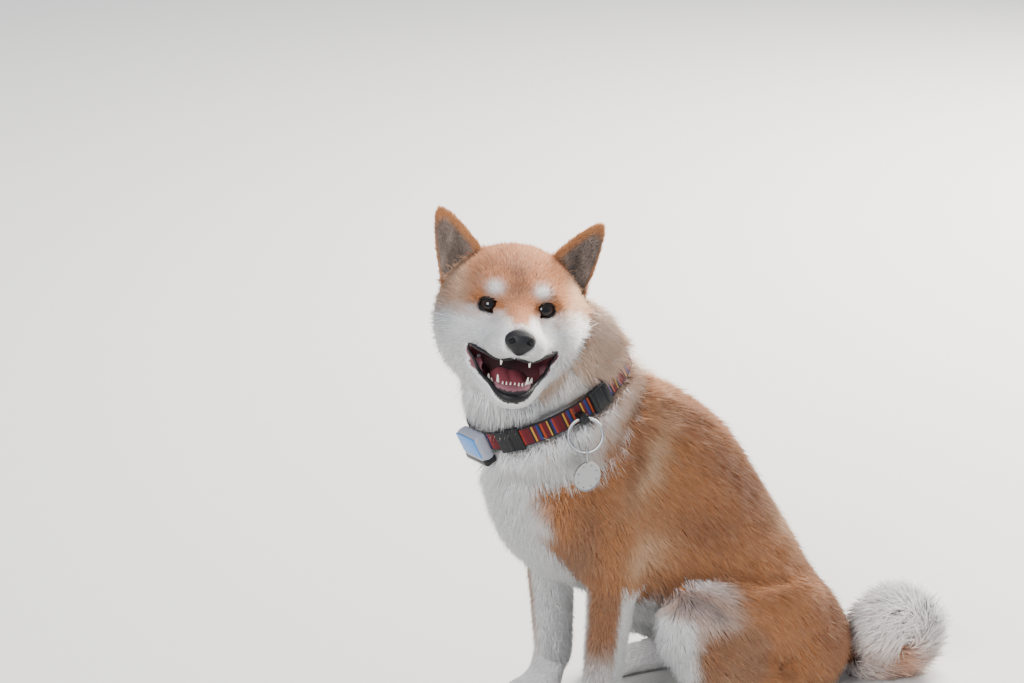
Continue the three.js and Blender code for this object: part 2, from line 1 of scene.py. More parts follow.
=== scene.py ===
import math

import bmesh
import bpy
import numpy as np
from mathutils import Matrix, Vector, kdtree
from mathutils.bvhtree import BVHTree


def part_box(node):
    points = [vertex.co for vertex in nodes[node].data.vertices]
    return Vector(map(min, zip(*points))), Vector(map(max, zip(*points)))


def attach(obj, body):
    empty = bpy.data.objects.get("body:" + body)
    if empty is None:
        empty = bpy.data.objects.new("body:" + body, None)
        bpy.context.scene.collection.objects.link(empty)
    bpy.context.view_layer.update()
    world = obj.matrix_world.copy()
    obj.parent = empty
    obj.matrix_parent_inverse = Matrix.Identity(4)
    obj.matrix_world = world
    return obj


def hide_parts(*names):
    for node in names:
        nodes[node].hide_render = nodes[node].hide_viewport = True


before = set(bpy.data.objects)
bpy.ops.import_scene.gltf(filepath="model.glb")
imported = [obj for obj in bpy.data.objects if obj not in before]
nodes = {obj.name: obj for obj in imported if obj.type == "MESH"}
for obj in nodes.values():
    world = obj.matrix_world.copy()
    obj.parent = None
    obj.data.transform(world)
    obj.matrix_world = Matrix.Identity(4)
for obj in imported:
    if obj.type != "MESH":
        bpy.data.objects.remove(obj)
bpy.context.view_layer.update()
rng = np.random.default_rng(7)

# Small helpers; sizes in millimetres unless a name says otherwise


def smoothStep(low, high, value):
    share = np.clip((value - low) / (high - low), 0, 1)
    return share * share * (3 - 2 * share)


def unit(vectors):
    return vectors / np.maximum(np.linalg.norm(vectors, axis=-1, keepdims=True), 1e-9)


def ripple(points, size, phase=0.0):  # soft patchy noise from -1 to 1, its patches about size wide
    k = 2 * math.pi / size
    x, y, z = points[..., 0] * k, points[..., 1] * k, points[..., 2] * k
    first = np.sin(x * 0.71 + y * 0.53 - z * 0.31 + phase)
    second = np.sin(y * 0.83 - x * 0.37 + z * 0.59 + 2.1 * phase + 1.3)
    third = np.sin(z * 0.97 + x * 0.45 + y * 0.21 - phase + 4.0)
    return (first + second + third + first * second * third) / 4


def meshArrays(mesh):
    points = np.empty(len(mesh.vertices) * 3)
    mesh.vertices.foreach_get("co", points)
    mesh.calc_loop_triangles()
    triangles = np.empty(len(mesh.loop_triangles) * 3, dtype=np.int32)
    mesh.loop_triangles.foreach_get("vertices", triangles)
    return points.reshape(-1, 3) * 1000, triangles.reshape(-1, 3)


def newObject(name, mesh, smooth=True):
    obj = bpy.data.objects.new(name, mesh)
    bpy.context.scene.collection.objects.link(obj)
    if smooth:
        mesh.polygons.foreach_set("use_smooth", np.ones(len(mesh.polygons), dtype=bool))
    return obj


def fromBmesh(name, bm, smooth=True):
    mesh = bpy.data.meshes.new(name)
    bm.to_mesh(mesh)
    bm.free()
    return newObject(name, mesh, smooth)


def applyModifiers(obj):
    depsgraph = bpy.context.evaluated_depsgraph_get()
    finished = bpy.data.meshes.new_from_object(obj.evaluated_get(depsgraph))
    obj.modifiers.clear()
    obj.data = finished
    return obj


def finishPiece(obj, material, slot, *replaced):
    obj.data.materials.clear()
    obj.data.materials.append(material)
    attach(obj, "root")
    if replaced:
        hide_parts(*replaced)
    return obj


def mergedBmesh(names):
    bm = bmesh.new()
    for name in names:
        bm.from_mesh(nodes[name].data)
    bmesh.ops.remove_doubles(bm, verts=bm.verts, dist=0.000002)
    return bm


def remeshed(name, bm, voxel):  # voxel in metres
    obj = fromBmesh(name, bm)
    remesh = obj.modifiers.new("remesh", "REMESH")
    remesh.mode = "VOXEL"
    remesh.voxel_size = voxel
    return applyModifiers(obj)


def keepLargest(obj):
    bm = bmesh.new()
    bm.from_mesh(obj.data)
    bm.verts.ensure_lookup_table()
    seen = np.zeros(len(bm.verts), dtype=bool)
    best = []
    for start in bm.verts:
        if seen[start.index]:
            continue
        seen[start.index] = True
        island, stack = [start], [start]
        while stack:
            for edge in stack.pop().link_edges:
                for vert in edge.verts:
                    if not seen[vert.index]:
                        seen[vert.index] = True
                        island.append(vert)
                        stack.append(vert)
        if len(island) > len(best):
            best = island
    kept = set(best)
    bmesh.ops.delete(bm, geom=[v for v in bm.verts if v not in kept], context="VERTS")
    bm.to_mesh(obj.data)
    bm.free()


def edgesOf(mesh):
    edges = np.empty(len(mesh.edges) * 2, dtype=np.int32)
    mesh.edges.foreach_get("vertices", edges)
    return edges.reshape(-1, 2)


def relax(values, edges, count, rounds, share=0.5):  # averages each value with its neighbours'
    degree = np.bincount(edges.ravel(), minlength=count).astype(float)
    degree = np.maximum(degree, 1)
    share = np.asarray(share, dtype=float)
    for _ in range(rounds):
        total = np.zeros_like(values)
        np.add.at(total, edges[:, 0], values[edges[:, 1]])
        np.add.at(total, edges[:, 1], values[edges[:, 0]])
        mean = total / (degree[:, None] if values.ndim > 1 else degree)
        weight = share[:, None] if share.ndim and values.ndim > 1 else share
        values = values + (mean - values) * weight
    return values


def vertexNormals(mesh):
    normals = np.empty(len(mesh.vertices) * 3)
    mesh.vertex_normals.foreach_get("vector", normals)
    return normals.reshape(-1, 3)


def setPoints(mesh, points):
    mesh.vertices.foreach_set("co", (points * 0.001).ravel())
    mesh.update()


def setTint(mesh, colours, name="tint"):
    layer = mesh.color_attributes.new(name=name, type="FLOAT_COLOR", domain="POINT")
    rgba = np.ones((len(colours), 4))
    rgba[:, :3] = np.clip(colours, 0, 1)
    layer.data.foreach_set("color", rgba.ravel())


def softenEdges(obj, name, width):
    bevel = obj.modifiers.new(name, "BEVEL")
    bevel.width = width
    bevel.segments = 2
    bevel.limit_method = "ANGLE"


def coneBetween(bm, base, tip, baseRadius, tipRadius, segments):  # millimetres in, metres out
    base, tip = Vector(base), Vector(tip)
    axis = tip - base
    made = bmesh.ops.create_cone(bm, cap_ends=True, segments=segments, radius1=baseRadius,
                                 radius2=tipRadius, depth=axis.length)
    turnTo = axis.to_track_quat("Z", "Y").to_matrix().to_4x4()
    place = Matrix.Translation((base + tip) / 2) @ turnTo
    bmesh.ops.transform(bm, matrix=Matrix.Scale(0.001, 4) @ place, verts=made["verts"])


# Materials


def newMaterial(name, colour, roughness, **sockets):
    material = bpy.data.materials.new(name)
    material.use_nodes = True
    shader = material.node_tree.nodes["Principled BSDF"]
    shader.inputs["Base Color"].default_value = (*colour, 1)
    shader.inputs["Roughness"].default_value = roughness
    for socket, value in sockets.items():
        shader.inputs[socket.replace("_", " ")].default_value = value
    return material, material.node_tree, shader


def addNode(tree, kind, inputs=(), **settings):
    node = tree.nodes.new(kind)
    for setting, value in settings.items():
        setattr(node, setting, value)
    for socket, value in dict(inputs).items():
        node.inputs[socket].default_value = value
    return node


def addBump(tree, shader, height, strength, distance):
    bump = addNode(tree, "ShaderNodeBump", {"Strength": strength, "Distance": distance})
    tree.links.new(height, bump.inputs["Height"])
    tree.links.new(bump.outputs["Normal"], shader.inputs["Normal"])


def noiseBump(tree, shader, scale, strength, distance, detail=4.0):
    coordinates = addNode(tree, "ShaderNodeTexCoord")
    noise = addNode(tree, "ShaderNodeTexNoise", {"Scale": scale, "Detail": detail})
    tree.links.new(coordinates.outputs["Object"], noise.inputs["Vector"])
    addBump(tree, shader, noise.outputs["Fac"], strength, distance)
    return noise


def grainedMaterial(name, colour, roughness, grain, **sockets):  # grain: scale, strength, distance
    material, tree, shader = newMaterial(name, colour, roughness, **sockets)
    noiseBump(tree, shader, *grain)
    return material


def tintedMaterial(name, roughness, speckle, **sockets):  # colour from the piece's own attribute
    material, tree, shader = newMaterial(name, (0.5, 0.4, 0.3), roughness, **sockets)
    tint = addNode(tree, "ShaderNodeVertexColor", layer_name="tint")
    coordinates = addNode(tree, "ShaderNodeTexCoord")
    noise = addNode(tree, "ShaderNodeTexNoise", {"Scale": 900.0, "Detail": 2.0})
    shade = addNode(tree, "ShaderNodeMapRange", {"To Min": 1 - speckle, "To Max": 1 + speckle})
    mix = addNode(tree, "ShaderNodeMix", {"Factor": 1.0}, data_type="RGBA", blend_type="MULTIPLY")
    tree.links.new(coordinates.outputs["Object"], noise.inputs["Vector"])
    tree.links.new(noise.outputs["Fac"], shade.inputs["Value"])
    tree.links.new(tint.outputs["Color"], mix.inputs["A"])
    tree.links.new(shade.outputs["Result"], mix.inputs["B"])
    tree.links.new(mix.outputs["Result"], shader.inputs["Base Color"])
    return material


# Camera, floor and light

view = dict(azimuth=68, elevation=18, place=(2.985, -1.502, 1.453), lens=123.05)


def setStage():
    a, e = math.radians(view["azimuth"]), math.radians(view["elevation"])
    back = Vector((math.sin(a) * math.cos(e), -math.cos(a) * math.cos(e), math.sin(e)))
    camera = bpy.data.objects.new("camera", bpy.data.cameras.new("camera"))
    camera.data.lens = view["lens"]
    camera.data.sensor_width = 36
    camera.data.clip_end = 100
    camera.location = view["place"]
    camera.rotation_euler = back.to_track_quat("Z", "Y").to_euler()
    bpy.context.scene.collection.objects.link(camera)
    bpy.context.scene.camera = camera

    bm = bmesh.new()
    bmesh.ops.create_grid(bm, x_segments=8, y_segments=8, size=12)
    floor = fromBmesh("floor", bm, smooth=False)
    pale, tree, shader = newMaterial("paleFloor", (0.62, 0.62, 0.60), 0.8)
    noiseBump(tree, shader, 60.0, 0.08, 0.002)
    floor.data.materials.append(pale)

    world = bpy.data.worlds.new("world")
    world.use_nodes = True
    world.node_tree.nodes["Background"].inputs["Color"].default_value = (0.80, 0.87, 1.0, 1)
    world.node_tree.nodes["Background"].inputs["Strength"].default_value = 0.85
    bpy.context.scene.world = world
    for name, place, size, power, colour in [
        ("keyLight", (2.4, -3.0, 2.4), 1.6, 165, (1.0, 0.98, 0.97)),
        ("topLight", (-1.0, 1.3, 3.0), 1.6, 230, (1.0, 0.97, 0.92)),
        ("rimLight", (-1.6, 2.2, 1.5), 1.0, 230, (1.0, 0.93, 0.82)),
    ]:
        lamp = bpy.data.lights.new(name, "AREA")
        lamp.size = size
        lamp.energy = power
        lamp.color = colour
        light = bpy.data.objects.new(name, lamp)
        light.location = place
        aim = Vector(place) - Vector((0, -0.15, 0.25))
        light.rotation_euler = aim.to_track_quat("Z", "Y").to_euler()
        bpy.context.scene.collection.objects.link(light)


setStage()
print("stage set")

# The dog's own frames: the head's turn and the tail's curl

headPlace = dict(origin=(0, -296, 445), yaw=73, pitch=-13.5, roll=7.3)
tailPoints = [(0, 40, 34), (4, 84, 28), (14, 126, 30), (24, 140, 48), (31, 122, 66), (35, 96, 58)]
tailCore = dict(start=17, end=11, length=34)


def turn(degrees, axis):
    return Matrix.Rotation(math.radians(degrees), 3, axis)


headTurn = np.array(turn(headPlace["yaw"], "Z") @ turn(headPlace["pitch"], "X")
                    @ turn(headPlace["roll"], "Y"))
headOrigin = np.array(headPlace["origin"], dtype=float)


def toHead(points):
    return (points - headOrigin) @ headTurn


def fromHead(points):
    return np.asarray(points, dtype=float) @ headTurn.T + headOrigin


collar = dict(centre=(0, -258, 350), tilt=25, height=20, wall=2.4, rows=6, steps=200)
collarTurn = np.array(turn(collar["tilt"], "X"))
collarCentre = np.array(collar["centre"], dtype=float)


def smoothPath(points, count):  # a Catmull-Rom line through the points
    knots = np.array(points, dtype=float)
    knots = np.vstack([2 * knots[0] - knots[1], knots, 2 * knots[-1] - knots[-2]])
    line = []
    for share in np.linspace(0, len(points) - 1 - 1e-6, count):
        i = int(share)
        t = share - i
        a, b, c, d = knots[i : i + 4]
        line.append(0.5 * (2 * b + (c - a) * t + (2 * a - 5 * b + 4 * c - d) * t**2
                           + (3 * b - a - 3 * c + d) * t**3))
    return np.array(line)


tailLine = smoothPath(tailPoints, 60)
tailAlong = unit(np.gradient(tailLine, axis=0))


def tube(name, line, radii, sides=10):  # a closed tube of round section along a line of points
    curve = bpy.data.curves.new(name, "CURVE")
    curve.dimensions = "3D"
    curve.bevel_depth = 0.001
    curve.bevel_resolution = sides // 4
    curve.use_fill_caps = True
    spline = curve.splines.new("POLY")
    spline.points.add(len(line) - 1)
    for point, place, radius in zip(spline.points, line, radii):
        point.co = (*(np.array(place) * 0.001), 1)
        point.radius = radius
    holder = bpy.data.objects.new(name, curve)
    bpy.context.scene.collection.objects.link(holder)
    mesh = bpy.data.meshes.new_from_object(holder.evaluated_get(bpy.context.evaluated_depsgraph_get()))
    bpy.data.objects.remove(holder)
    bpy.data.curves.remove(curve)
    mesh.name = name
    return newObject(name, mesh)


# Skin: one surface over all the flesh, inside the coat

sides = ("left", "right")
fleshNodes = ["torso", "neck", "head", "lower_jaw"] + [
    f"{part}_{side}"
    for part in ("ear", "upper_arm", "forearm", "fore_paw", "thigh", "shank", "hind_paw")
    for side in sides
]
# For each region: how deep the coat is, how long and wide its tufts are, and how thickly they grow
coat = {
    "torso": dict(depth=8, length=22, width=1.7, growth=1.0),
    "neck": dict(depth=11, length=28, width=1.5, growth=1.7),
    "head": dict(depth=4.2, length=13, width=1.15, growth=2.3),
    "lower_jaw": dict(depth=1.8, length=6, width=0.8, growth=3.4),
    "ear": dict(depth=0.8, length=6, width=0.8, growth=3.2),
    "upper_arm": dict(depth=7, length=19, width=1.6, growth=1.1),
    "forearm": dict(depth=4.5, length=13, width=1.4, growth=1.4),
    "fore_paw": dict(depth=2.2, length=7, width=1.0, growth=2.2),
    "thigh": dict(depth=8, length=21, width=1.7, growth=1.0),
    "shank": dict(depth=6, length=16, width=1.6, growth=1.2),
    "hind_paw": dict(depth=2.5, length=8, width=1.1, growth=2.0),
    "tail": dict(depth=0.5, length=37, width=1.7, growth=5.0),
}
regions = list(coat)


def regionOf(node):
    return regions.index(node.replace("_left", "").replace("_right", ""))


def regionPoints():
    points, labels = [], []
    for name in fleshNodes:
        where, triangles = meshArrays(nodes[name].data)
        corners = where[triangles]
        samples = np.concatenate([where, corners.mean(axis=1)] + [
            (corners[:, i] + corners[:, (i + 1) % 3]) / 2 for i in range(3)])
        points.append(samples)
        labels += [regionOf(name)] * len(samples)
    points.append(tailLine[14:])
    labels += [regions.index("tail")] * (len(tailLine) - 14)
    return np.concatenate(points), np.array(labels)


def makeSkin():
    bm = mergedBmesh([name for name in fleshNodes if not name.startswith("ear")])
    ears = mergedBmesh(["ear_left", "ear_right"])
    for vert in ears.verts:
        vert.co += vert.normal * 0.001
    earMesh = bpy.data.meshes.new("ears")
    ears.to_mesh(earMesh)
    ears.free()
    bm.from_mesh(earMesh)
    bpy.data.meshes.remove(earMesh)
    core = tube("tailCore", tailLine, np.linspace(tailCore["start"], tailCore["end"], len(tailLine)), 16)
    bm.from_mesh(core.data)
    bpy.data.objects.remove(core)
    skin = remeshed("skin", bm, 0.0022)
    keepLargest(skin)
    return skin


def eyeCentre(side):
    lows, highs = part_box("eye_left" if side > 0 else "eye_right")
    return (np.array(lows) + np.array(highs)) * 500


# lids: each ring's size against the almond, and its distance from the eye's centre
eye = dict(radius=10.5, gaze=(0.10, -1, 0.02), almond=(10.6, 5.8), tilt=15,
           lids=[(1.0, 10.7), (1.05, 11.2), (1.13, 11.4), (1.28, 10.9), (1.5, 9.2)])


def inAlmond(flat, side, size):  # which points, seen from the front, lie in an eye's almond
    tilt = math.radians(eye["tilt"]) * side
    u = flat[:, 0] * math.cos(tilt) + flat[:, 2] * math.sin(tilt)
    v = flat[:, 2] * math.cos(tilt) - flat[:, 0] * math.sin(tilt)
    wide, tall = (size * reach for reach in eye["almond"])
    return ((np.abs(u) / wide) ** 2.35 + (np.abs(v) / tall) ** 1.38 < 1) & (flat[:, 1] < 0)


def describeSkin(skin):
    mesh = skin.data
    points, _ = meshArrays(mesh)
    edges = edgesOf(mesh)
    count = len(points)
    samples, labels = regionPoints()
    tree = kdtree.KDTree(len(samples))
    for i, sample in enumerate(samples):
        tree.insert(sample, i)
    tree.balance()
    region = labels[np.array([tree.find(p)[1] for p in points])]
    inHead = toHead(points)
    onFace = np.isin(region, [regions.index("head"), regions.index("lower_jaw")])
    facing = vertexNormals(mesh) @ headTurn
    depth = mouthDepth(inHead)
    wall = (depth > -1.6) & (mouthDepth(inHead + facing) > depth)
    mouth = wall | (depth > 0.6) | (onFace & betweenLips(inHead))
    thin = np.isin(region, [regions.index(part) for part in ("ear", "lower_jaw")]) | mouth
    for _ in range(9):  # in and out again, so that ears and lips keep their size
        points = relax(points, edges, count, 1, np.where(thin, 0.4, 0.6))
        points = relax(points, edges, count, 1, np.where(thin, -0.41, -0.35))
    onNeck = relax((~onFace & (region != regions.index("ear"))).astype(float), edges, count, 40)
    border = 4 * onNeck * (1 - onNeck) * ~mouth  # fills the crease between the face and the ruff
    points = relax(points, edges, count, 45, 0.65 * border)
    setPoints(mesh, points)
    traits = np.array([[coat[r]["depth"], coat[r]["length"], coat[r]["width"], coat[r]["growth"]]
                       for r in regions])[region]
    front = smoothStep(-28, -72, inHead[:, 1]) * onFace  # the face's own coat is the shortest
    cheek = smoothStep(34, 48, np.abs(inHead[:, 0])) * smoothStep(14, -8, inHead[:, 2])
    cheek = cheek * onFace * (1 - front)
    traits = traits * (1 + cheek[:, None] * np.array([0.5, 0.6, 0.25, 0]))
    traits = traits * (1 + front[:, None] * np.array([-0.6, -0.6, -0.35, 1.1]))
    traits = relax(traits, edges, count, 14)
    traits[mouth, 0] *= 0.2
    normals = vertexNormals(mesh)
    points = points - normals * traits[:, :1]
    points[:, 2] = np.maximum(points[:, 2], 0.4)
    points = relax(points, edges, count, 3, 0.4)
    for side in (1, -1):  # sockets behind the lids
        centre = eyeCentre(side)
        away = points - centre
        reach = np.linalg.norm(away, axis=1)
        behind = inAlmond(toHead(points) - toHead(centre[None]), side, 1.22)
        points = np.where((behind & (reach > 9))[:, None], centre + away / reach[:, None] * 9, points)
    setPoints(mesh, points)
    return points, edges, region, traits, mouth


# The hollows of the mouth in the head's frame: centre, radii, tilt about X, tilt about Y
mouthHollows = [
    ((0, -80, -58), (20, 42, 15), 14, 0),
    ((24, -60, -50), (20, 24, 10), 16, 0),
    ((33, -62, -45), (14, 20, 7.5), 0, -38),
    ((0, -36, -60), (26, 42, 17), 18, 0),
    ((0, -54, -59), (31, 45, 15), 17, 0),
    ((0, -82, -71), (10, 13, 7), 18, 0),
]


def mouthDepth(p):  # how far inside the mouth's walls, in millimetres
    folded = np.stack([np.abs(p[:, 0]), p[:, 1], p[:, 2]], axis=1)
    hollows = []
    for group, softness in ((mouthHollows[:4], 10), (mouthHollows[4:], 8)):
        nearest = np.full(len(p), 1e6)
        for centre, radii, tilt, lean in group:
            axes = np.array(turn(lean, "Y") @ turn(tilt, "X"))
            local = ((folded - centre) @ axes) / radii
            near = np.linalg.norm(local, axis=1)
            field = near * (near - 1) / np.maximum(np.linalg.norm(local / radii, axis=1), 1e-6)
            overlap = np.maximum(softness - np.abs(nearest - field), 0) / softness
            nearest = np.minimum(nearest, field) - overlap**2 * softness / 4
        hollows.append(nearest)
    return -np.minimum(*hollows)


def betweenLips(h):  # the room between the two rows of teeth
    floor = -56 + (h[:, 1] + 65) * 0.575
    return (np.abs(h[:, 0]) < 28) & (np.abs(h[:, 1] + 76) < 33) & (h[:, 2] < -46) & (h[:, 2] > floor)


# Markings, the same on skin and coat

hues = dict(
    tan=(0.50, 0.195, 0.066),
    deep=(0.22, 0.072, 0.026),
    pale=(0.78, 0.52, 0.33),
    cream=(0.93, 0.92, 0.91),
    grizzle=(0.13, 0.10, 0.085),
    # the pale hair inside the ears, painted dim as shade in each ear's hollow
    earInside=(0.30, 0.225, 0.185),
)


# Seen from the side, as y and z: the pale hair over the knee of a folded hind leg, and the line of the
# painted shade in the crease under it
kneeLine = [(-192, 136), (-171, 158), (-146, 166), (-120, 160), (-94, 139), (-76, 116)]
creaseShadeLine = [(-176, 134), (-160, 145), (-141, 149), (-122, 140)]
# Patches of the coat: hue, middle, half length and half width, slope in degrees, strength
patches = [
    ("pale", (-187, 296), (44, 15), 56, 0.85),
    ("deep", (-204, 300), (52, 10), 78, 0.65),
    ("deep", (-86, 268), (66, 20), -44, 0.75),
    ("deep", (-128, 225), (50, 24), -16, 0.60),
    ("pale", (-190, 206), (30, 20), 70, 0.70),
    ("pale", (-22, 192), (34, 10), -54, 0.60),
    ("deep", (22, 84), (52, 28), -60, 0.70),
    ("grizzle", (-254, 215), (52, 18), 84, 0.45),
]


ear = dict(inner=(27, -4, 47), outer=(74, 10, 14), tip=(80, -4, 83))


def earRim(h):  # 0 on the tan rim of an ear, 1 on the pale hair inside it
    folded = np.stack([np.abs(h[:, 0]), h[:, 1], h[:, 2]], axis=1)
    inner, outer, tip = (np.array(ear[key], dtype=float) for key in ("inner", "outer", "tip"))
    along, across = tip - (inner + outer) / 2, (outer - inner) / 2
    fromMiddle = folded - (inner + outer) / 2
    share, place = np.linalg.lstsq(np.stack([along, across], axis=1), fromMiddle.T, rcond=None)[0]
    width = np.clip((1 - share) / 1.3, 0, 1) ** 0.52 * 1.02
    reach = np.linalg.norm(across)
    innerEdge, outerEdge = (width + place) * reach, (width - place) * reach
    return smoothStep(6.5, 12, innerEdge) * smoothStep(2.0, 4.5, outerEdge) * smoothStep(0.9, 0.72, share)


def markings(p, n, region):
    hue = {name: np.array(value) for name, value in hues.items()}
    x, y, z = p.T
    side = np.sign(x)
    outer = n[:, 0] * side
    isRegion = {name: region == i for i, name in enumerate(regions)}
    white = np.zeros(len(p))

    chestLine = 46 + 7 * ripple(p, 60)
    chest = smoothStep(-236, -268, y) * (1 - smoothStep(chestLine - 9, chestLine + 9, np.abs(x)))
    belly = smoothStep(0.35, 0.75, -0.79 * n[:, 1] - 0.62 * n[:, 2]) * (1 - smoothStep(48, 66, np.abs(x)))
    white = np.where(isRegion["torso"], np.maximum(chest, belly), white)

    throat = smoothStep(-0.15, 0.5, n @ unit(np.array([0.30, -0.90, -0.15])) + 0.22 * ripple(p, 40))
    white = np.where(isRegion["neck"], throat, white)

    rearward = n @ unit(np.array([0.30, 0.95, 0.0])) * np.where(x > 0, 1, 0.6)
    arm = np.maximum(smoothStep(0.1, -0.4, outer), smoothStep(-276, -292, y + 4 * ripple(p, 25)))
    white = np.where(isRegion["upper_arm"], arm, white)
    forearm = smoothStep(0.05, 0.5, rearward) * smoothStep(190, 165, z)
    forearm = np.maximum(smoothStep(0.2, -0.4, outer), forearm)
    forearm = np.maximum(forearm, smoothStep(120, 62, z + 8 * ripple(p, 30)) * 0.92)
    white = np.where(isRegion["forearm"], forearm, white)
    white = np.where(isRegion["fore_paw"] | isRegion["hind_paw"], 0.95, white)

    hindLeg = isRegion["thigh"] | isRegion["shank"]
    wander = 6 * ripple(p, 30)
    seen = p[:, None, 1:]
    kneeArc = np.linalg.norm(seen - smoothPath(kneeLine, 24)[None], axis=2).min(axis=1)
    # painted shade along the crease under the knee, on the leg's outer side
    creaseShade = np.linalg.norm(seen - smoothPath(creaseShadeLine, 16)[None], axis=2).min(axis=1)
    creaseShade = np.exp(-((creaseShade / 7) ** 2)) * hindLeg * smoothStep(0.1, 0.4, outer)
    shin = np.hypot((y + 106) * 0.85, z - 90) + 0.7 * wander
    brownShin = smoothStep(46, 32, shin)
    arc = 0.8 * smoothStep(-84, -132, y) * np.exp(-(((kneeArc + 0.4 * wander) / 11) ** 2))
    knee = np.maximum(arc, 0.45 * smoothStep(56, 36, np.hypot(y + 140, z - 108)))
    shankFront = smoothStep(-137, -149, y + 0.4 * wander) * smoothStep(148, 132, z)
    knee = np.maximum(knee * (1 - brownShin), shankFront)
    white = np.where(hindLeg, np.maximum(knee, smoothStep(0.1, -0.4, outer)), white)

    h = toHead(p)
    hn = n @ headTurn
    hx, hy, hz = h.T
    ax = np.abs(hx)
    edge = 2.5 * ripple(h, 22)
    blur = 5 * ripple(h, 15, 3.0) + 4 * ripple(h, 34, 1.0)
    lower = smoothStep(4, -18, hz + blur + 0.12 * (hy + 40) * (hy > -40))
    wedge = np.interp(hy, (-118, -76, -58), (5, 13, 22))
    bridge = (1 - smoothStep(wedge - 3, wedge + 4, ax + edge)) * smoothStep(-24, -15, hz + 0.3 * (hy + 100))
    bridge = bridge * smoothStep(-121, -112, hy)
    brow = np.exp(-(((ax - 20.5) / 7.0) ** 2 + ((hz - 15) / 5.5) ** 2)) * (hy < -20)
    behind = smoothStep(8, 26, hy + 3 * edge) * smoothStep(-50, -30, hz)
    face = np.maximum(lower * (1 - 0.95 * bridge) * (1 - behind), np.clip(brow * 1.1, 0, 0.9))
    white = np.where(isRegion["head"], face, white)
    white = np.where(isRegion["lower_jaw"], 1.0, white)

    white = np.clip(white, 0, 1)
    patch = 0.5 + 0.5 * ripple(p, 84, 0.7)
    fine = 0.5 + 0.5 * ripple(p * np.array([1, 1, 0.6]), 17, 2.0)
    base = hue["tan"] * (0.90 + 0.20 * fine[:, None])
    back = smoothStep(0.1, 0.75, n @ np.array([0, 0.79, 0.62])) * (isRegion["torso"] | isRegion["neck"])
    sable = np.clip((0.15 + 0.6 * back) * smoothStep(0.35, 0.8, patch), 0, 1)
    base = base + (hue["deep"] - base) * sable[:, None] * 0.6
    upNeck = (p - collarCentre) @ collarTurn[:, 2] + 9 * ripple(p, 36)
    ruff = isRegion["neck"] * smoothStep(1.0, 0.6, n[:, 1]) * (0.7 + 0.3 * patch)
    ruff = ruff * smoothStep(-58, -6, upNeck)
    base = base + ((0.65 * hue["pale"] + 0.35 * hue["cream"]) - base) * ruff[:, None] * 0.85
    onBody = isRegion["torso"] | isRegion["upper_arm"] | isRegion["thigh"]
    for name, (u, v), (along, across), slope, strength in patches:
        turnBy = math.radians(slope)
        first = (y - u) * math.cos(turnBy) + (z - v) * math.sin(turnBy) + 9 * ripple(p, 40)
        second = (z - v) * math.cos(turnBy) - (y - u) * math.sin(turnBy) + 7 * ripple(p, 31, 1.0)
        share = strength * np.exp(-((first / along) ** 2) - (second / across) ** 2) * onBody
        base = base + (hue[name] - base) * share[:, None]
    base = np.where(isRegion["head"][:, None], base * np.array([0.86, 0.75, 0.62]), base)
    streak = np.exp(-(((hx + 1) / 9.0) ** 2)) * smoothStep(0, 14, hz) * smoothStep(60, 24, hz)
    streak = streak * isRegion["head"]
    crown = np.exp(-(((ax - 14) / 16.0) ** 2)) * smoothStep(24, 36, hz) * smoothStep(62, 44, hz)
    crown = crown * isRegion["head"]
    base = base + (hue["deep"] - base) * np.clip((0.9 * streak + 0.45 * crown) * (hy < 10), 0, 1)[:, None]
    temple = isRegion["head"] * smoothStep(38, 52, ax) * smoothStep(-30, 10, hz)
    base = base + (hue["pale"] - base) * (0.55 * temple)[:, None]
    base = base + (hue["grizzle"] - base) * (0.4 * brownShin * hindLeg)[:, None]
    stripe = isRegion["forearm"] * smoothStep(70, 110, z)
    base = base + (hue["grizzle"] - base) * (0.3 * stripe)[:, None]
    colour = base + (hue["cream"] - base) * white[:, None]

    # dark blue-grey painted shade in the crease under the knee
    colour = colour + (np.array([0.13, 0.13, 0.15]) - colour) * (0.6 * creaseShade)[:, None]

    rim = earRim(h)
    inEar = isRegion["ear"] * smoothStep(0.0, 0.25, -hn[:, 1]) * rim
    # streaks of hair inside the ear, with painted shade deepest along the middle of its hollow near the base
    earStreaksAndShade = 0.35 + 0.9 * (0.5 + 0.5 * ripple(h * np.array([1, 0.6, 0.22]), 7, 0.5)) ** 1.5
    earStreaksAndShade = earStreaksAndShade * (1 - 0.6 * np.exp(-((ax - 52 - 0.35 * (hz - 30)) / 9) ** 2 - ((hz - 32) / 22) ** 2))
    colour = colour + (hue["earInside"] * earStreaksAndShade[:, None] - colour) * inEar[:, None]

    tailTan = np.exp(-(((y - 108) / 26) ** 2) - ((z - 28) / 30) ** 2 + 0.3 * ripple(p, 24))
    tailHue = hue["cream"] + (hue["tan"] * 1.4 - hue["cream"]) * np.clip(0.8 * tailTan, 0, 1)[:, None]
    colour = np.where(isRegion["tail"][:, None], tailHue, colour)
    return colour


# The lie of the coat


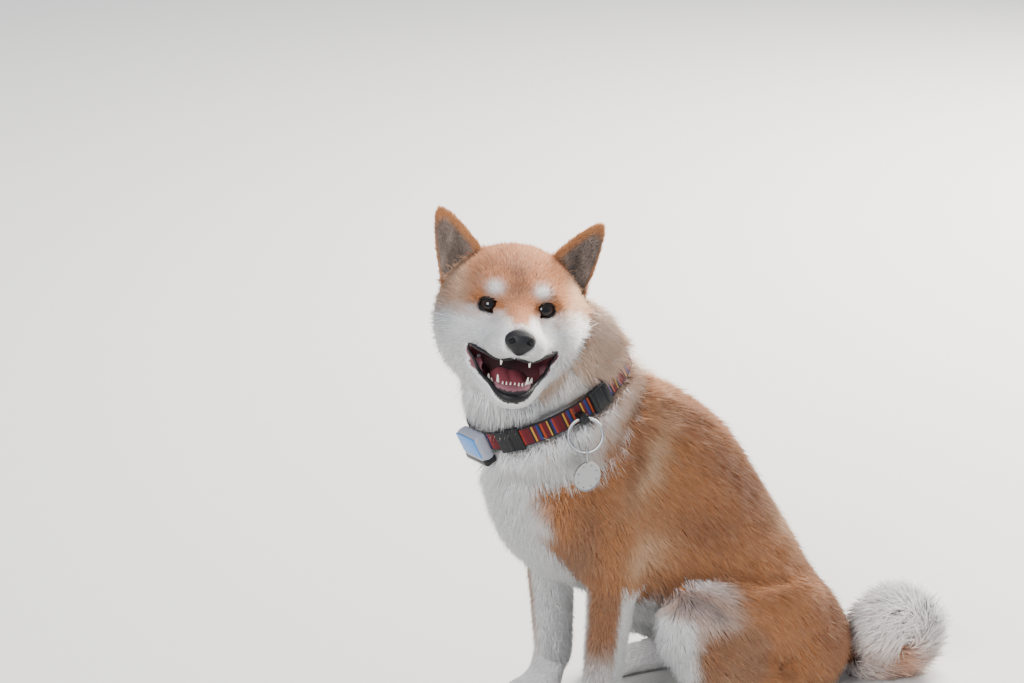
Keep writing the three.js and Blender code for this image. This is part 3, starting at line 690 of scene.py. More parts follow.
def lieOf(p, n, region):
    x, y = p[:, 0], p[:, 1]
    lie = np.zeros_like(p)
    flows = {
        "torso": np.array([0, 0.58, -0.80]),
        "neck": np.array([0, 0.20, -0.95]),
        "upper_arm": np.array([0, 0.15, -0.98]),
        "forearm": np.array([0, 0.12, -0.99]),
        "fore_paw": np.array([0, -0.75, -0.55]),
        "thigh": np.array([0, 0.45, -0.85]),
        "shank": np.array([0, 0.55, -0.75]),
        "hind_paw": np.array([0, -0.85, -0.35]),
    }
    for name, flow in flows.items():
        lie[region == regions.index(name)] = flow
    chest = smoothStep(-230, -280, y) * (region == regions.index("torso"))
    lie = lie + (np.array([0, 0.05, -1.0]) - lie) * chest[:, None]
    spread = np.isin(region, [regions.index("neck"), regions.index("torso")])
    lie = lie + np.clip(x / 40, -1, 1)[:, None] * np.array([0.22, 0, 0]) * spread[:, None]

    h = toHead(p)
    away = unit(h - np.array([0, -118.0, -20.0]))
    away = away + np.array([0, 0.35, -0.1])
    down = smoothStep(-20, -60, h[:, 2])[:, None] * np.array([0, 0.1, -0.9])
    onHead = np.isin(region, [regions.index("head"), regions.index("lower_jaw")])
    lie = np.where(onHead[:, None], (away + down) @ headTurn.T, lie)
    earUp = np.stack([0.45 * np.sign(h[:, 0]), np.zeros(len(h)), np.full(len(h), 0.9)], axis=1)
    lie = np.where((region == regions.index("ear"))[:, None], earUp @ headTurn.T, lie)

    onTail = region == regions.index("tail")
    if onTail.any():
        gaps = np.linalg.norm(p[onTail][:, None, :] - tailLine[None], axis=2)
        lie[onTail] = tailAlong[gaps.argmin(axis=1)]
    lie = lie - n * (lie * n).sum(axis=1, keepdims=True)
    return unit(lie)


# Coat: solid tufts with a root ring, a middle ring and a tip


def tuftMesh(name, tufts, simple):
    root, normal, lie, length, width, lift, hue = (
        tufts[k] for k in ("root", "normal", "lie", "length", "width", "lift", "hue"))
    count = len(root)
    side = np.cross(normal, lie)
    half = (width / 2)[:, None]
    first = lie * np.cos(lift * 1.3)[:, None] + normal * np.sin(lift * 1.3)[:, None]
    second = lie * np.cos(lift * 0.55)[:, None] + normal * np.sin(lift * 0.55)[:, None]
    step = (length / 2)[:, None]
    foot = root - normal * 0.8
    middle = root + first * step
    tip = middle + second * step

    def ring(centre, size):
        return [centre + side * half * size, centre - side * half * size, centre + normal * half * size * 0.6]

    shade = np.clip(0.88 + 0.10 * rng.standard_normal(count), 0.6, 1.15)[:, None]
    if simple:
        tip = root + (first * 0.5 + second * 0.5) * length[:, None]
        verts = np.stack(ring(foot, 1.0) + [tip], axis=1)
        # root ring painted darker as shade down in the coat, tip painted lighter as light on the coat's top
        tints = np.stack([hue * (shade - 0.14)] * 3 + [hue * (shade + 0.20)], axis=1)
        faces = np.array([(0, 2, 3), (2, 1, 3), (1, 0, 3), (0, 1, 2)])
        shape = np.array([(0, 0), (1, 0), (0.5, 0), (0.5, 1)])
    else:
        verts = np.stack(ring(foot, 0.9) + ring(middle, 0.85) + [tip], axis=1)
        # root ring painted darker as shade down in the coat, middle and tip painted lighter as light on the
        # coat's top
        tints = [hue * shade * 0.94] * 3 + [hue * (shade + 0.06)] * 3 + [hue * (shade + 0.16)]
        tints = np.stack(tints, axis=1)
        faces = np.array([(0, 2, 5), (0, 5, 3), (2, 1, 4), (2, 4, 5), (1, 0, 3), (1, 3, 4),
                          (3, 5, 6), (5, 4, 6), (4, 3, 6), (0, 1, 2)])
        shape = np.array([(0, 0), (1, 0), (0.5, 0), (0.1, 0.5), (0.9, 0.5), (0.5, 0.5), (0.5, 1)])
    verts[..., 2] = np.maximum(verts[..., 2], 0.3)
    each = verts.shape[1]
    index = (faces[None] + (np.arange(count) * each)[:, None, None]).reshape(-1, 3)
    mesh = bpy.data.meshes.new(name)
    mesh.vertices.add(count * each)
    mesh.vertices.foreach_set("co", (verts * 0.001).ravel())
    mesh.loops.add(index.size)
    mesh.loops.foreach_set("vertex_index", index.ravel().astype(np.int32))
    mesh.polygons.add(len(index))
    mesh.polygons.foreach_set("loop_start", np.arange(0, index.size, 3, dtype=np.int32))
    mesh.update(calc_edges=True)
    setTint(mesh, tints.reshape(-1, 3))
    place = tufts["place"][:, None, None, :] + 0.003 * (shape[faces][None] - 0.5)
    layer = mesh.uv_layers.new(name="OFBake")
    layer.data.foreach_set("uv", np.broadcast_to(place, (count, len(faces), 3, 2)).ravel())
    return newObject(name, mesh)


def bandHeight(p):  # how far above the middle of the collar's band, or 99 away from it
    height = (p - collarCentre) @ collarTurn[:, 2]
    return np.where(np.linalg.norm(p - collarCentre, axis=1) < 118, height, 99)


def unwrapPlace(points):  # a cylinder about the points' own long axis, opened flat
    centre = points.mean(axis=0)
    _, _, axes = np.linalg.svd((points - centre)[:: max(1, len(points) // 4000)], full_matrices=False)
    local = (points - centre) @ axes.T
    around = np.arctan2(local[:, 2], local[:, 1]) / (2 * math.pi) + 0.5
    along = (local[:, 0] - local[:, 0].min()) / max(np.ptp(local[:, 0]), 1e-6)
    return np.stack([0.01 + 0.98 * around, 0.01 + 0.98 * along], axis=1)


# tufts grown and the most in one piece; a long tuft has ten triangles, a short one four
growing = dict(tufts=dict(long=17000, short=318000), inPiece=dict(long=19500, short=47000), strays=0.14)


def growCoat(skin, points, region, traits, mouth, furless):
    mesh = skin.data
    _, triangles = meshArrays(mesh)
    normals = vertexNormals(mesh)
    corners = points[triangles]
    twice = np.cross(corners[:, 1] - corners[:, 0], corners[:, 2] - corners[:, 0])
    area = np.linalg.norm(twice, axis=1) / 2
    growth = traits[:, 3][triangles].mean(axis=1) * ~(mouth | furless)[triangles].any(axis=1)
    growth = growth * (np.abs(bandHeight(corners.mean(axis=1))) > 11)
    weight = area * growth
    fine = ~(region == regions.index("tail"))[triangles].any(axis=1)
    pieces = []
    for kind, mask in (("long", ~fine), ("short", fine)):
        chance = np.where(mask, weight, 0)
        print(kind, "coat over", round(area[mask].sum() / 1e6, 3), "square metres")
        chosen = rng.choice(len(triangles), growing["tufts"][kind], p=chance / chance.sum())
        mixing = rng.dirichlet((1, 1, 1), growing["tufts"][kind])
        corner = triangles[chosen]
        root = (points[corner] * mixing[..., None]).sum(axis=1)
        normal = unit((normals[corner] * mixing[..., None]).sum(axis=1))
        trait = (traits[corner] * mixing[..., None]).sum(axis=1)
        label = region[corner[:, 0]]
        lie = lieOf(root, normal, label)
        sway = np.radians(9 * rng.standard_normal(len(root)) + 12 * ripple(root, 26, 1.1))
        onTail = label == regions.index("tail")
        sway = np.where(onTail, sway * 1.8, sway)
        side = np.cross(normal, lie)
        lie = lie * np.cos(sway)[:, None] + side * np.sin(sway)[:, None]
        length = trait[:, 1] * rng.uniform(0.75, 1.2, len(root))
        tip = toHead(root + lie * length[:, None])
        inWay = betweenLips(tip)
        for eyeSide in (1, -1):
            inWay |= inAlmond(tip - toHead(eyeCentre(eyeSide)[None]), eyeSide, 1.02)
        length = np.where(inWay & (length < 15), length * 0.3, length)
        rise = np.clip(trait[:, 0] * rng.uniform(0.75, 1.15, len(root)) / length, 0.02, 0.9)
        lift = np.arcsin(rise)
        stray = (rng.random(len(root)) < growing["strays"]) & (trait[:, 1] > 7)
        lift = lift + stray * rng.uniform(0.08, 0.32, len(root))
        over = bandHeight(root)
        atBand = (over > 10) & (over < 40)
        way = unit(root - collarCentre)[:, 1]
        nape = smoothStep(0.05, 0.6, way) + 0.55 * smoothStep(0.45, 0.9, -way)
        limit = over - 10 + (2 + 26 * nape) * rng.random(len(root)) + 1
        length = np.where(atBand, np.minimum(length, np.maximum(limit, 5)), length)
        lift = lift + 0.25 * atBand * smoothStep(34, 16, over) * (0.4 + nape)
        lift = np.where(onTail, rng.uniform(0.35, 0.95, len(root)), lift)
        hue = markings(root, normal, label)
        grain = np.clip(rng.normal(0, 0.17, len(root)), -0.4, 0.4)[:, None] * (1 - hue[:, 2:3])
        hue = np.where(grain > 0, hue + (np.array(hues["pale"]) - hue) * grain,
                       hue + (np.array(hues["grizzle"]) - hue) * -grain)
        tufts = dict(root=root, normal=normal, lie=lie, length=length, lift=lift, hue=hue,
                     width=trait[:, 2] * rng.uniform(0.75, 1.25, len(root)))
        order = np.argsort(root[:, 1] - root[:, 2] * 0.4 + 400 * (label == regions.index("tail")))
        parts = np.array_split(order, math.ceil(len(order) / growing["inPiece"][kind]))
        for i, part in enumerate(parts):
            some = {key: value[part] for key, value in tufts.items()}
            some["place"] = unwrapPlace(some["root"])
            pieces.append(tuftMesh(f"coat_{kind}_{i + 1}", some, kind == "short"))
    return pieces


# The edges of the lips in the head's frame, from corner to corner
lowerLip = [(42, -63, -38), (36, -64, -49), (29.5, -66, -60), (24, -79, -67), (18, -94, -75),
            (9, -103.5, -81)]
lowerLip += [(0, -105.5, -82)] + [(-x, y, z) for x, y, z in lowerLip[::-1]]
upperLip = [(42, -63, -37), (36, -73, -39.5), (27, -84, -43), (18, -94, -46.5), (9, -103, -46.5)]
upperLip += [(0, -108, -44)] + [(-x, y, z) for x, y, z in upperLip[::-1]]

skin = makeSkin()
points, edges, region, traits, mouth = describeSkin(skin)
normals = vertexNormals(skin.data)
# the skin takes the coat's markings darkened to 0.72, as painted shade under the coat
skinHue = markings(points, normals, region) * 0.72
border = edges[mouth[edges[:, 0]] != mouth[edges[:, 1]]].ravel()
border = toHead(points[border])
border = border[border[:, 2] < -40 - 0.25 * (border[:, 1] + 64)]


def drawnToEdge(path):  # the lower lip, moved at its sides to where the mouth's lining ends
    line = smoothPath(path, 60)
    gaps = np.linalg.norm(line[:, None, :] - border[None], axis=2)
    nearest = np.argsort(gaps, axis=1)[:, :6]
    moved = border[nearest].mean(axis=1)
    across = np.abs(line[:, 0])
    share = smoothStep(13, 22, across) * (gaps.min(axis=1) < 10) * smoothStep(43, 40, across)
    line = line + (moved - line) * share[:, None]
    for _ in range(6):
        line[1:-1] = (line[:-2] + 2 * line[1:-1] + line[2:]) / 4
    return line


lowerLip = drawnToEdge(lowerLip)
print("lower lip moved to the edge of", len(border), "points")
lipLine = np.concatenate([lowerLip, smoothPath(upperLip, 60)])
inMouth = toHead(points[mouth])
fromLip = np.linalg.norm(inMouth[:, None, :] - lipLine[None], axis=2).min(axis=1)
# the mouth's lining: how far from the lips, and the hue there: the black lip edge, then the lining's own
# mauve pink and maroon, darkened deeper in to near black as painted shade inside the mouth
lining = dict(reach=(1.5, 3.5, 16, 42), hues=[(0.02, 0.012, 0.014), (0.26, 0.11, 0.13),
                                              (0.13, 0.028, 0.036), (0.012, 0.003, 0.004)])
# hues by distance from the lips, with painted shade deep in the mouth
skinHue[mouth] = np.stack([np.interp(fromLip, lining["reach"], hue) for hue in zip(*lining["hues"])], axis=1)
headPoints = toHead(points)
lipReach = np.linalg.norm(headPoints[:, None, :] - lowerLip[None], axis=2).min(axis=1) \
    - np.interp(np.abs(headPoints[:, 0]), (6, 20), (6.5, 2.2))
blackLip = (lipReach < 0) & (headPoints[:, 1] < -50)
skinHue[blackLip] = (0.012, 0.009, 0.010)
setTint(skin.data, skinHue)
skinMaterial = tintedMaterial("skinUnderCoat", 0.8, 0.15)
finishPiece(skin, skinMaterial, "red_coat", *fleshNodes, "tail")
print("skin", len(skin.data.polygons), "faces")

# Eyes: a dark ball with a brown iris, held by black lids

def makeEye(side, name):
    centre = eyeCentre(side)
    axis = unit((np.array([eye["gaze"][0] * side, *eye["gaze"][1:]])) @ headTurn.T)
    bm = bmesh.new()
    bmesh.ops.create_uvsphere(bm, u_segments=40, v_segments=28, radius=eye["radius"] * 0.001)
    aim = Vector(axis).to_track_quat("Z", "Y").to_matrix().to_4x4()
    bmesh.ops.transform(bm, matrix=Matrix.Translation(centre * 0.001) @ aim, verts=bm.verts)
    ball = fromBmesh(name, bm)
    where, _ = meshArrays(ball.data)
    facing = unit(where - centre) @ axis
    iris = smoothStep(0.70, 0.74, facing)[:, None]
    pupil = smoothStep(0.925, 0.94, facing)[:, None]
    hue = np.array([0.014, 0.008, 0.006]) * (1 - iris) + np.array([0.013, 0.005, 0.002]) * iris
    setTint(ball.data, hue * (1 - pupil) + 0.002 * pupil)
    return ball


eyeMaterial = tintedMaterial("wetEye", 0.06, 0.1, Specular_IOR_Level=0.25, Coat_Weight=0.25,
                             Coat_Roughness=0.03)
for side, word in ((1, "left"), (-1, "right")):
    finishPiece(makeEye(side, f"eyeball_{word}"), eyeMaterial, "dark_eye", f"eye_{word}")


def makeLids(side, name):  # a black almond rim that leaves the ball and runs out under the coat
    centre = toHead(eyeCentre(side)[None])[0]
    bm = bmesh.new()
    made = bmesh.ops.create_circle(bm, segments=40, radius=1.0)
    loop = made["verts"]
    angles = [math.atan2(v.co.y, v.co.x) for v in loop]

    def placeRing(verts, size, distance):
        for vert, angle in zip(verts, angles):
            wide = math.copysign(abs(math.cos(angle)) ** 0.85, math.cos(angle)) * eye["almond"][0]
            tall = math.copysign(abs(math.sin(angle)) ** 1.45, math.sin(angle)) * eye["almond"][1]
            u, v = wide * size, tall * size
            tilt = math.radians(eye["tilt"]) * side
            u, v = u * math.cos(tilt) - v * math.sin(tilt), u * math.sin(tilt) + v * math.cos(tilt)
            forward = math.sqrt(max(eye["radius"] ** 2 - u * u - v * v, 14))
            direction = unit(np.array([u + 1.2 * side, -forward, v]))
            vert.co = Vector(fromHead(centre + direction * distance) * 0.001)

    placeRing(loop, *eye["lids"][0])
    rim = [e for e in bm.edges]
    for size, distance in eye["lids"][1:]:
        grown = bmesh.ops.extrude_edge_only(bm, edges=rim)["geom"]
        loop = [g for g in grown if isinstance(g, bmesh.types.BMVert)]
        rim = [g for g in grown if isinstance(g, bmesh.types.BMEdge)]
        placeRing(loop, size, distance)
    bmesh.ops.recalc_face_normals(bm, faces=bm.faces)
    lids = fromBmesh(name, bm)
    solidify = lids.modifiers.new("wall", "SOLIDIFY")
    solidify.thickness = 0.0006
    solidify.offset = 1
    smooth = lids.modifiers.new("smooth", "SUBSURF")
    smooth.levels = smooth.render_levels = 1
    return lids


blackSkin = grainedMaterial("blackSkin", (0.006, 0.005, 0.006), 0.5,
                            (1400.0, 0.5, 0.0004), Specular_IOR_Level=0.3)
for side, word in ((1, "left"), (-1, "right")):
    finishPiece(makeLids(side, f"lids_{word}"), blackSkin, "black_skin")
print("eyes made")

# Nose, tongue, teeth, lips


def softCopy(node, name, voxel, rounds, share=0.5):
    obj = remeshed(name, mergedBmesh([node]), voxel)
    where, _ = meshArrays(obj.data)
    setPoints(obj.data, relax(where, edgesOf(obj.data), len(where), rounds, share))
    return obj


nose = softCopy("nose", "nosePad", 0.0007, 6)
noseLeather, tree, shader = newMaterial("noseLeather", (0.003, 0.003, 0.004), 0.5,
                                        Specular_IOR_Level=0.3, Coat_Weight=0.1,
                                        Coat_Roughness=0.3)
coordinates = addNode(tree, "ShaderNodeTexCoord")
pebbles = addNode(tree, "ShaderNodeTexVoronoi", {"Scale": 950.0})
tree.links.new(coordinates.outputs["Object"], pebbles.inputs["Vector"])
addBump(tree, shader, pebbles.outputs["Distance"], 0.55, 0.0006)
finishPiece(nose, noseLeather, "black_skin", "nose")

tongue = softCopy("tongue", "tongueBlade", 0.0012, 8)
tongueSkin = grainedMaterial("tongueSkin", (0.30, 0.075, 0.095), 0.40, (1100.0, 0.5, 0.0005), Coat_Weight=0.2)
finishPiece(tongue, tongueSkin, "tongue", "tongue")

enamel = grainedMaterial("enamel", (0.80, 0.74, 0.62), 0.22,
                         (500.0, 0.1, 0.0002), Subsurface_Weight=0.1, Coat_Weight=0.3)


def makeTooth(bm, base, tip, width):
    coneBetween(bm, fromHead([base])[0], fromHead([tip])[0], width / 2, width * 0.12, 12)


def makeTeeth():
    bm = bmesh.new()
    for i in range(6):
        turnBy = (i - 2.5) * 0.27
        x, y = math.sin(turnBy) * 14.5, -84 - math.cos(turnBy) * 9.5
        makeTooth(bm, (x, y, -77.5), (x * 1.03, y - 1.5, -67.5), 3.7)
    for side in (1, -1):
        makeTooth(bm, (side * 12.5, -87.5, -78), (side * 14.5, -90, -62), 5.4)
        makeTooth(bm, (side * 13, -98, -40), (side * 13.5, -100, -52), 5.0)
        for i in range(3):
            makeTooth(bm, (side * (15 + i * 2.6), -78 + i * 8, -76 + i * 3.2),
                      (side * (15.6 + i * 2.6), -78 + i * 8, -70.5 + i * 3.2), 4.2)
    teeth = fromBmesh("teeth", bm)
    softenEdges(teeth, "soften", 0.0004)
    return teeth


finishPiece(makeTeeth(), enamel, "cream_coat")


def lipTube(name, points, radii):
    line = smoothPath(points, 40)
    wide = np.interp(np.linspace(0, 1, 40), np.linspace(0, 1, len(radii)), radii)
    return tube(name, fromHead(line), wide, 12)


# how thick the lips are from corner to corner
lipRadii = dict(lower=(1.0, 1.5, 1.7, 2.0, 2.8, 3.6, 3.9, 3.6, 2.8, 2.0, 1.7, 1.5, 1.0),
                upper=(1.0, 2.0, 1.8, 1.6, 1.5, 1.7, 1.5, 1.6, 1.8, 2.0, 1.0))
for word, path in (("lower", lowerLip), ("upper", upperLip)):
    finishPiece(lipTube(f"lip_{word}", path, lipRadii[word]), blackSkin, "black_skin")
print("mouth made")

# The coat itself

nosePlace = toHead(np.array([np.mean([np.array(c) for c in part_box("nose")], axis=0) * 1000]))[0]
furless = blackLip.copy()
for side in (1, -1):
    furless |= inAlmond(headPoints - toHead(eyeCentre(side)[None]), side, 1.12)
furless |= np.linalg.norm((headPoints - nosePlace) / np.array([16.5, 12, 12]), axis=1) < 1
coatMaterial = tintedMaterial("coatHair", 0.72, 0.12, Sheen_Weight=0.06, Sheen_Roughness=0.4,
                              Specular_IOR_Level=0.25)
for piece in growCoat(skin, points, region, traits, mouth, furless):
    finishPiece(piece, coatMaterial, "red_coat")
print("coat grown")

# Collar, ring and tag

def collarRadii():  # the middle of the band, found by looking out from its centre
    bm = mergedBmesh(["collar"])
    tree = BVHTree.FromBMesh(bm)
    radii = []
    for angle in np.linspace(0, 2 * math.pi, 36, endpoint=False):
        found = []
        for upwards in (-8, 8):
            start = collarTurn @ np.array([0, 0, upwards]) + collarCentre
            out = collarTurn @ np.array([math.cos(angle), math.sin(angle), 0])
            hit = tree.ray_cast(Vector(start * 0.001), Vector(out), 0.2)
            if hit[0] is not None:
                found.append(hit[3] * 1000)
        radii.append(max(found))
    bm.free()
    angles = np.linspace(0, 2 * math.pi, collar["steps"], endpoint=False)
    return angles, np.interp(angles, np.linspace(0, 2 * math.pi, 37), radii + radii[:1])


def makeBand():
    angles, radii = collarRadii()
    radii = np.convolve(np.tile(radii, 3), np.ones(9) / 9, "same")[len(radii) : 2 * len(radii)] + 0.6
    bm = bmesh.new()
    along = bm.verts.layers.float.new("along")
    across = bm.verts.layers.float.new("across")
    made = bmesh.ops.create_circle(bm, segments=collar["steps"], radius=1.0)
    loop, rim = made["verts"], list(bm.edges)
    order = [int(round(math.atan2(v.co.y, v.co.x) / (2 * math.pi) * collar["steps"])) % collar["steps"]
             for v in loop]
    for row in range(collar["rows"] + 1):
        if row:
            grown = bmesh.ops.extrude_edge_only(bm, edges=rim)["geom"]
            loop = [g for g in grown if isinstance(g, bmesh.types.BMVert)]
            rim = [g for g in grown if isinstance(g, bmesh.types.BMEdge)]
        upwards = (row / collar["rows"] - 0.5) * collar["height"]
        for vert, i in zip(loop, order):
            ring = np.array([radii[i] * math.cos(angles[i]), radii[i] * math.sin(angles[i]), upwards])
            vert.co = Vector((collarTurn @ ring + collarCentre) * 0.001)
            vert[along], vert[across] = angles[i] * 78, upwards
    bmesh.ops.recalc_face_normals(bm, faces=bm.faces)
    band = fromBmesh("collarBand", bm)
    wall = band.modifiers.new("wall", "SOLIDIFY")
    wall.thickness = collar["wall"] * 0.001
    wall.offset = 1
    softenEdges(band, "edge", 0.0006)
    return band


def webbingMaterial():
    material, tree, shader = newMaterial("wovenWebbing", (0.2, 0.02, 0.02), 0.85, Sheen_Weight=0.04,
                                         Specular_IOR_Level=0.25)
    along = addNode(tree, "ShaderNodeAttribute", attribute_name="along")
    across = addNode(tree, "ShaderNodeAttribute", attribute_name="across")
    period = addNode(tree, "ShaderNodeMath", {1: 36.0}, operation="MODULO")
    share = addNode(tree, "ShaderNodeMath", {1: 36.0}, operation="DIVIDE")
    tree.links.new(along.outputs["Fac"], period.inputs[0])
    tree.links.new(period.outputs["Value"], share.inputs[0])
    ramp = addNode(tree, "ShaderNodeValToRGB")
    ramp.color_ramp.interpolation = "CONSTANT"
    stripes = [(0.0, (0.10, 0.008, 0.012)), (0.17, (0.015, 0.012, 0.014)), (0.22, (0.50, 0.24, 0.03)),
               (0.27, (0.10, 0.012, 0.016)), (0.36, (0.02, 0.03, 0.14)), (0.44, (0.015, 0.012, 0.014)),
               (0.49, (0.36, 0.05, 0.012)), (0.55, (0.10, 0.008, 0.012)), (0.70, (0.50, 0.30, 0.05)),
               (0.74, (0.015, 0.012, 0.014)), (0.82, (0.02, 0.03, 0.14)), (0.87, (0.30, 0.03, 0.012)),
               (0.92, (0.13, 0.012, 0.018))]
    while len(ramp.color_ramp.elements) < len(stripes):
        ramp.color_ramp.elements.new(0.5)
    for element, (place, colour) in zip(ramp.color_ramp.elements, stripes):
        element.position = place
        element.color = (*colour, 1)
    tree.links.new(share.outputs["Value"], ramp.inputs["Fac"])
    size = addNode(tree, "ShaderNodeMath", operation="ABSOLUTE")
    edge = addNode(tree, "ShaderNodeMapRange", {"From Min": 8.2, "From Max": 8.8})
    mix = addNode(tree, "ShaderNodeMix", {"B": (0.016, 0.013, 0.015, 1)}, data_type="RGBA")
    tree.links.new(across.outputs["Fac"], size.inputs[0])
    tree.links.new(size.outputs["Value"], edge.inputs["Value"])
    tree.links.new(edge.outputs["Result"], mix.inputs["Factor"])
    tree.links.new(ramp.outputs["Color"], mix.inputs["A"])
    tree.links.new(mix.outputs["Result"], shader.inputs["Base Color"])
    warp = addNode(tree, "ShaderNodeMath", {1: 5.2}, operation="MULTIPLY")
    weft = addNode(tree, "ShaderNodeMath", {1: 4.2}, operation="MULTIPLY")
    warpWave = addNode(tree, "ShaderNodeMath", operation="SINE")
    weftWave = addNode(tree, "ShaderNodeMath", operation="SINE")
    weave = addNode(tree, "ShaderNodeMath", operation="MULTIPLY")
    tree.links.new(along.outputs["Fac"], warp.inputs[0])
    tree.links.new(across.outputs["Fac"], weft.inputs[0])
    tree.links.new(warp.outputs["Value"], warpWave.inputs[0])
    tree.links.new(weft.outputs["Value"], weftWave.inputs[0])
    tree.links.new(warpWave.outputs["Value"], weave.inputs[0])
    tree.links.new(weftWave.outputs["Value"], weave.inputs[1])
    addBump(tree, shader, weave.outputs["Value"], 0.6, 0.0006)
    return material


band = makeBand()
finishPiece(band, webbingMaterial(), "webbing", "collar")

blackPlastic = grainedMaterial("blackPlastic", (0.006, 0.006, 0.007), 0.38,
                               (1500.0, 0.15, 0.0002), Specular_IOR_Level=0.3)
greyPlastic = grainedMaterial("greyPlastic", (0.26, 0.27, 0.32), 0.42, (1500.0, 0.15, 0.0002))
bluePlastic = grainedMaterial("bluePlastic", (0.012, 0.17, 0.48), 0.35, (1500.0, 0.15, 0.0002))
steel = grainedMaterial("wornSteel", (0.34, 0.34, 0.35), 0.34, (700.0, 0.25, 0.0003), Metallic=1.0)


def fittingPlace(node):  # centre, size and turn of a box-like fitting on the band
    where, _ = meshArrays(nodes[node].data)
    centre = (where.min(axis=0) + where.max(axis=0)) / 2
    up = collarTurn @ np.array([0, 0, 1.0])
    first = collarTurn @ np.array([1.0, 0, 0])
    second = np.cross(up, first)
    best = None
    for angle in np.radians(np.arange(0, 180, 1.0)):
        axis = first * math.cos(angle) + second * math.sin(angle)
        span = np.ptp(where @ axis)
        if best is None or span < best[0]:
            best = (span, axis)
    out = best[1] if (centre - collarCentre) @ best[1] > 0 else -best[1]
    along = np.cross(out, up)
    axes = np.stack([along, out, up], axis=1)
    local = (where - centre) @ axes
    middle = (local.max(axis=0) + local.min(axis=0)) / 2
    return centre + axes @ middle, local.max(axis=0) - local.min(axis=0), axes


def roundedBox(name, centre, size, axes, radius, segments=4):
    bm = bmesh.new()
    bmesh.ops.create_cube(bm, size=1.0)
    bmesh.ops.scale(bm, vec=Vector(size) * 0.001, verts=bm.verts)
    bmesh.ops.bevel(bm, geom=list(bm.edges), offset=radius * 0.001, segments=segments, profile=0.5,
                    affect="EDGES", material=-1)
    place = Matrix.Translation(Vector(centre) * 0.001) @ Matrix(axes.tolist()).to_4x4()
    bmesh.ops.transform(bm, matrix=place, verts=bm.verts)
    return fromBmesh(name, bm)


centre, size, axes = fittingPlace("collar_buckle")
finishPiece(roundedBox("buckle", centre, size, axes, 2.6), blackPlastic, "black_plastic", "collar_buckle")
for step in (-0.5, 0.5):
    ribPlace = centre + axes @ np.array([step * size[0] * 0.55, size[1] * 0.5, 0])
    bar = roundedBox(f"buckle_rib_{'a' if step < 0 else 'b'}", ribPlace,
                     (size[0] * 0.16, 1.6, size[2] * 0.8), axes, 0.7, 3)
    finishPiece(bar, blackPlastic, "black_plastic")
centre, size, axes = fittingPlace("collar_slider")
finishPiece(roundedBox("slider", centre, size, axes, 1.6), blackPlastic, "black_plastic", "collar_slider")
bar = roundedBox("slider_bar", centre + axes @ np.array([0, size[1] * 0.45, 0]),
                 (4.0, 2.0, size[2] * 0.9), axes, 0.9, 3)
finishPiece(bar, blackPlastic, "black_plastic")
centre, size, axes = fittingPlace("collar_tracker")
housing = roundedBox("trackerHousing", centre, size, axes, 5.0, 6)
finishPiece(housing, greyPlastic, "grey_plastic", "collar_tracker")
panel = roundedBox("trackerPanel", centre + axes @ np.array([0, size[1] * 0.5 - 0.2, size[2] * 0.14]),
                   (size[0] * 0.86, 1.4, size[2] * 0.66), axes, 0.65, 3)
finishPiece(panel, bluePlastic, "grey_plastic")
base = roundedBox("trackerBase", centre + axes @ np.array([0, 0.3, -size[2] * 0.36]),
                  (size[0] + 0.8, size[1] + 0.2, size[2] * 0.26), axes, 3.2, 4)
finishPiece(base, blackPlastic, "black_plastic")


def flatFrame(node):  # centre and axes of a flat round thing, its thin way last
    where, _ = meshArrays(nodes[node].data)
    centre = (where.min(axis=0) + where.max(axis=0)) / 2
    _, _, axes = np.linalg.svd(where - where.mean(axis=0), full_matrices=False)
    return centre, axes.T


def makeTorus(name, centre, axes, radius, wire, steps=64, stretch=1.0):
    bm = bmesh.new()
    made = bmesh.ops.create_circle(bm, segments=14, radius=wire)
    spot = Matrix.Translation((radius, 0, 0)) @ Matrix.Rotation(math.pi / 2, 4, "X")
    bmesh.ops.transform(bm, matrix=spot, verts=made["verts"])
    bmesh.ops.spin(bm, geom=list(bm.verts) + list(bm.edges), cent=(0, 0, 0), axis=(0, 0, 1),
                   angle=2 * math.pi, steps=steps, use_merge=True)
    bmesh.ops.remove_doubles(bm, verts=bm.verts, dist=0.0001)
    bmesh.ops.scale(bm, vec=(stretch, 1, 1), verts=bm.verts)
    bmesh.ops.recalc_face_normals(bm, faces=bm.faces)
    place = Matrix.Scale(0.001, 4) @ Matrix.Translation(Vector(centre)) @ Matrix(axes.tolist()).to_4x4()
    bmesh.ops.transform(bm, matrix=place, verts=bm.verts)
    bmesh.ops.recalc_face_normals(bm, faces=bm.faces)
    return fromBmesh(name, bm)


centre, axes = flatFrame("collar_ring")
if np.linalg.det(axes) < 0:
    axes[:, 2] *= -1
finishPiece(makeTorus("ring", centre, axes, 16.5, 1.7), steel, "steel", "collar_ring")

ringTop = np.array(centre) + np.array([0, 0, 16.5])
keeperOut = collarTurn @ np.array([1.0, 0.03, 0])
keeperAxes = np.stack([np.cross(keeperOut, collarTurn[:, 2]), keeperOut, collarTurn[:, 2]], axis=1)
keeperPlace = ringTop - keeperOut * 3.5 + np.array([-4, 0, -1])
keeper = roundedBox("keeper", keeperPlace, (9, 16, 9), keeperAxes, 2.2)
finishPiece(keeper, blackPlastic, "webbing")

tag = dict(radius=15, wall=2.2, turn=100, dots=16)
where, _ = meshArrays(nodes["collar_tag"].data)
tagLow = where[:, 2].min()
disc = where[where[:, 2] < tagLow + 2 * tag["radius"] + 0.5]
tagCentre = np.array([*(disc.min(axis=0)[:2] + disc.max(axis=0)[:2]) / 2, tagLow + tag["radius"]])
tagFacing = math.radians(tag["turn"] - 90)
tagNormal = np.array([math.cos(tagFacing), math.sin(tagFacing), 0])
tagAxes = np.stack([np.cross([0, 0, 1.0], tagNormal), [0, 0, 1.0], tagNormal], axis=1)
tagAxes[:, 0] *= np.sign(np.linalg.det(tagAxes))


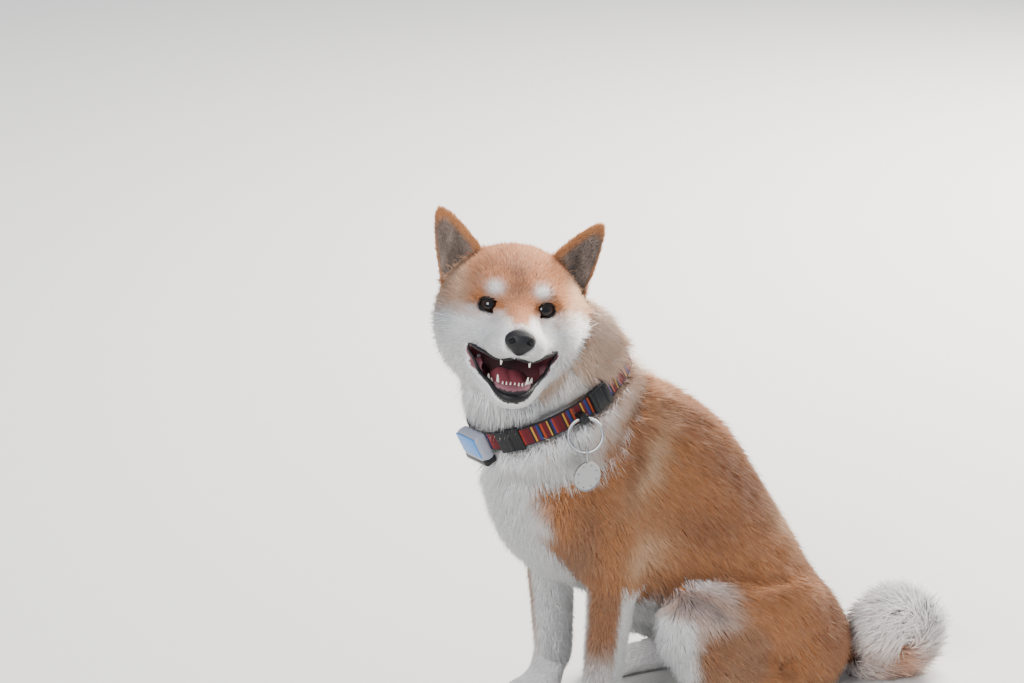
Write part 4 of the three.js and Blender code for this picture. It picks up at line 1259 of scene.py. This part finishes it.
def makeTag():
    bm = bmesh.new()
    bmesh.ops.create_cone(bm, cap_ends=True, segments=64, radius1=tag["radius"], radius2=tag["radius"],
                          depth=tag["wall"])
    for sign in (1, -1):
        cap = [f for f in bm.faces if f.normal.z * sign > 0.9]
        bmesh.ops.inset_region(bm, faces=cap, thickness=1.6)
        cap = [f for f in bm.faces if f.normal.z * sign > 0.9 and f.calc_center_median().xy.length < 1]
        bmesh.ops.translate(bm, vec=(0, 0, -0.45 * sign), verts=list({v for f in cap for v in f.verts}))
    for i in range(2 * tag["dots"]):
        angle = 2 * math.pi * i / tag["dots"]
        dot = bmesh.ops.create_cone(bm, cap_ends=True, segments=10, radius1=0.8, radius2=0.8, depth=0.7)
        onFace = (11.2 * math.cos(angle), 11.2 * math.sin(angle), 0.75 if i % 2 else -0.75)
        bmesh.ops.translate(bm, vec=onFace, verts=dot["verts"])
    place = Matrix.Scale(0.001, 4) @ Matrix.Translation(Vector(tagCentre))
    place = place @ Matrix(tagAxes.tolist()).to_4x4()
    bmesh.ops.transform(bm, matrix=place, verts=bm.verts)
    bmesh.ops.recalc_face_normals(bm, faces=bm.faces)
    piece = fromBmesh("tagDisc", bm, smooth=False)
    softenEdges(piece, "edge", 0.00025)
    return piece


finishPiece(makeTag(), steel, "steel", "collar_tag")
link = where[where[:, 2] > tagLow + 2 * tag["radius"] - 1]
linkCentre = np.array([*link.mean(axis=0)[:2], (link[:, 2].min() + link[:, 2].max()) / 2])
linkAxes = np.stack([[0, 0, 1.0], [math.cos(math.radians(152)), math.sin(math.radians(152)), 0],
                     [0, 0, 0]], axis=1)
linkAxes[:, 2] = np.cross(linkAxes[:, 0], linkAxes[:, 1])
finishPiece(makeTorus("tagLink", linkCentre, linkAxes, 4.2, 1.05, 40, 1.75), steel, "steel")
print("collar made")

# Claws


def makeClaws():
    bm = bmesh.new()
    for side in sides:
        for foot, spread in (("fore_paw", 11.0), ("hind_paw", 10.4)):
            lows, highs = (np.array(c) * 1000 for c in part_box(f"{foot}_{side}"))
            middle = (lows[0] + highs[0]) / 2
            where, _ = meshArrays(nodes[f"{foot}_{side}"].data)
            for place in (-1.5, -0.5, 0.5, 1.5):
                near = where[(np.abs(where[:, 0] - middle - place * spread) < 4) & (where[:, 2] < 18)]
                front = near[:, 1].min()
                base = np.array([middle + place * spread, front + 3.5, 8.5])
                tip = base + np.array([0, -7.0, -5.5])
                coneBetween(bm, base, tip, 2.3, 0.5, 10)
    claws = fromBmesh("claws", bm)
    softenEdges(claws, "soften", 0.0004)
    return claws


horn = grainedMaterial("clawHorn", (0.10, 0.075, 0.06), 0.35, (500.0, 0.2, 0.0003))
finishPiece(makeClaws(), horn, "black_skin")
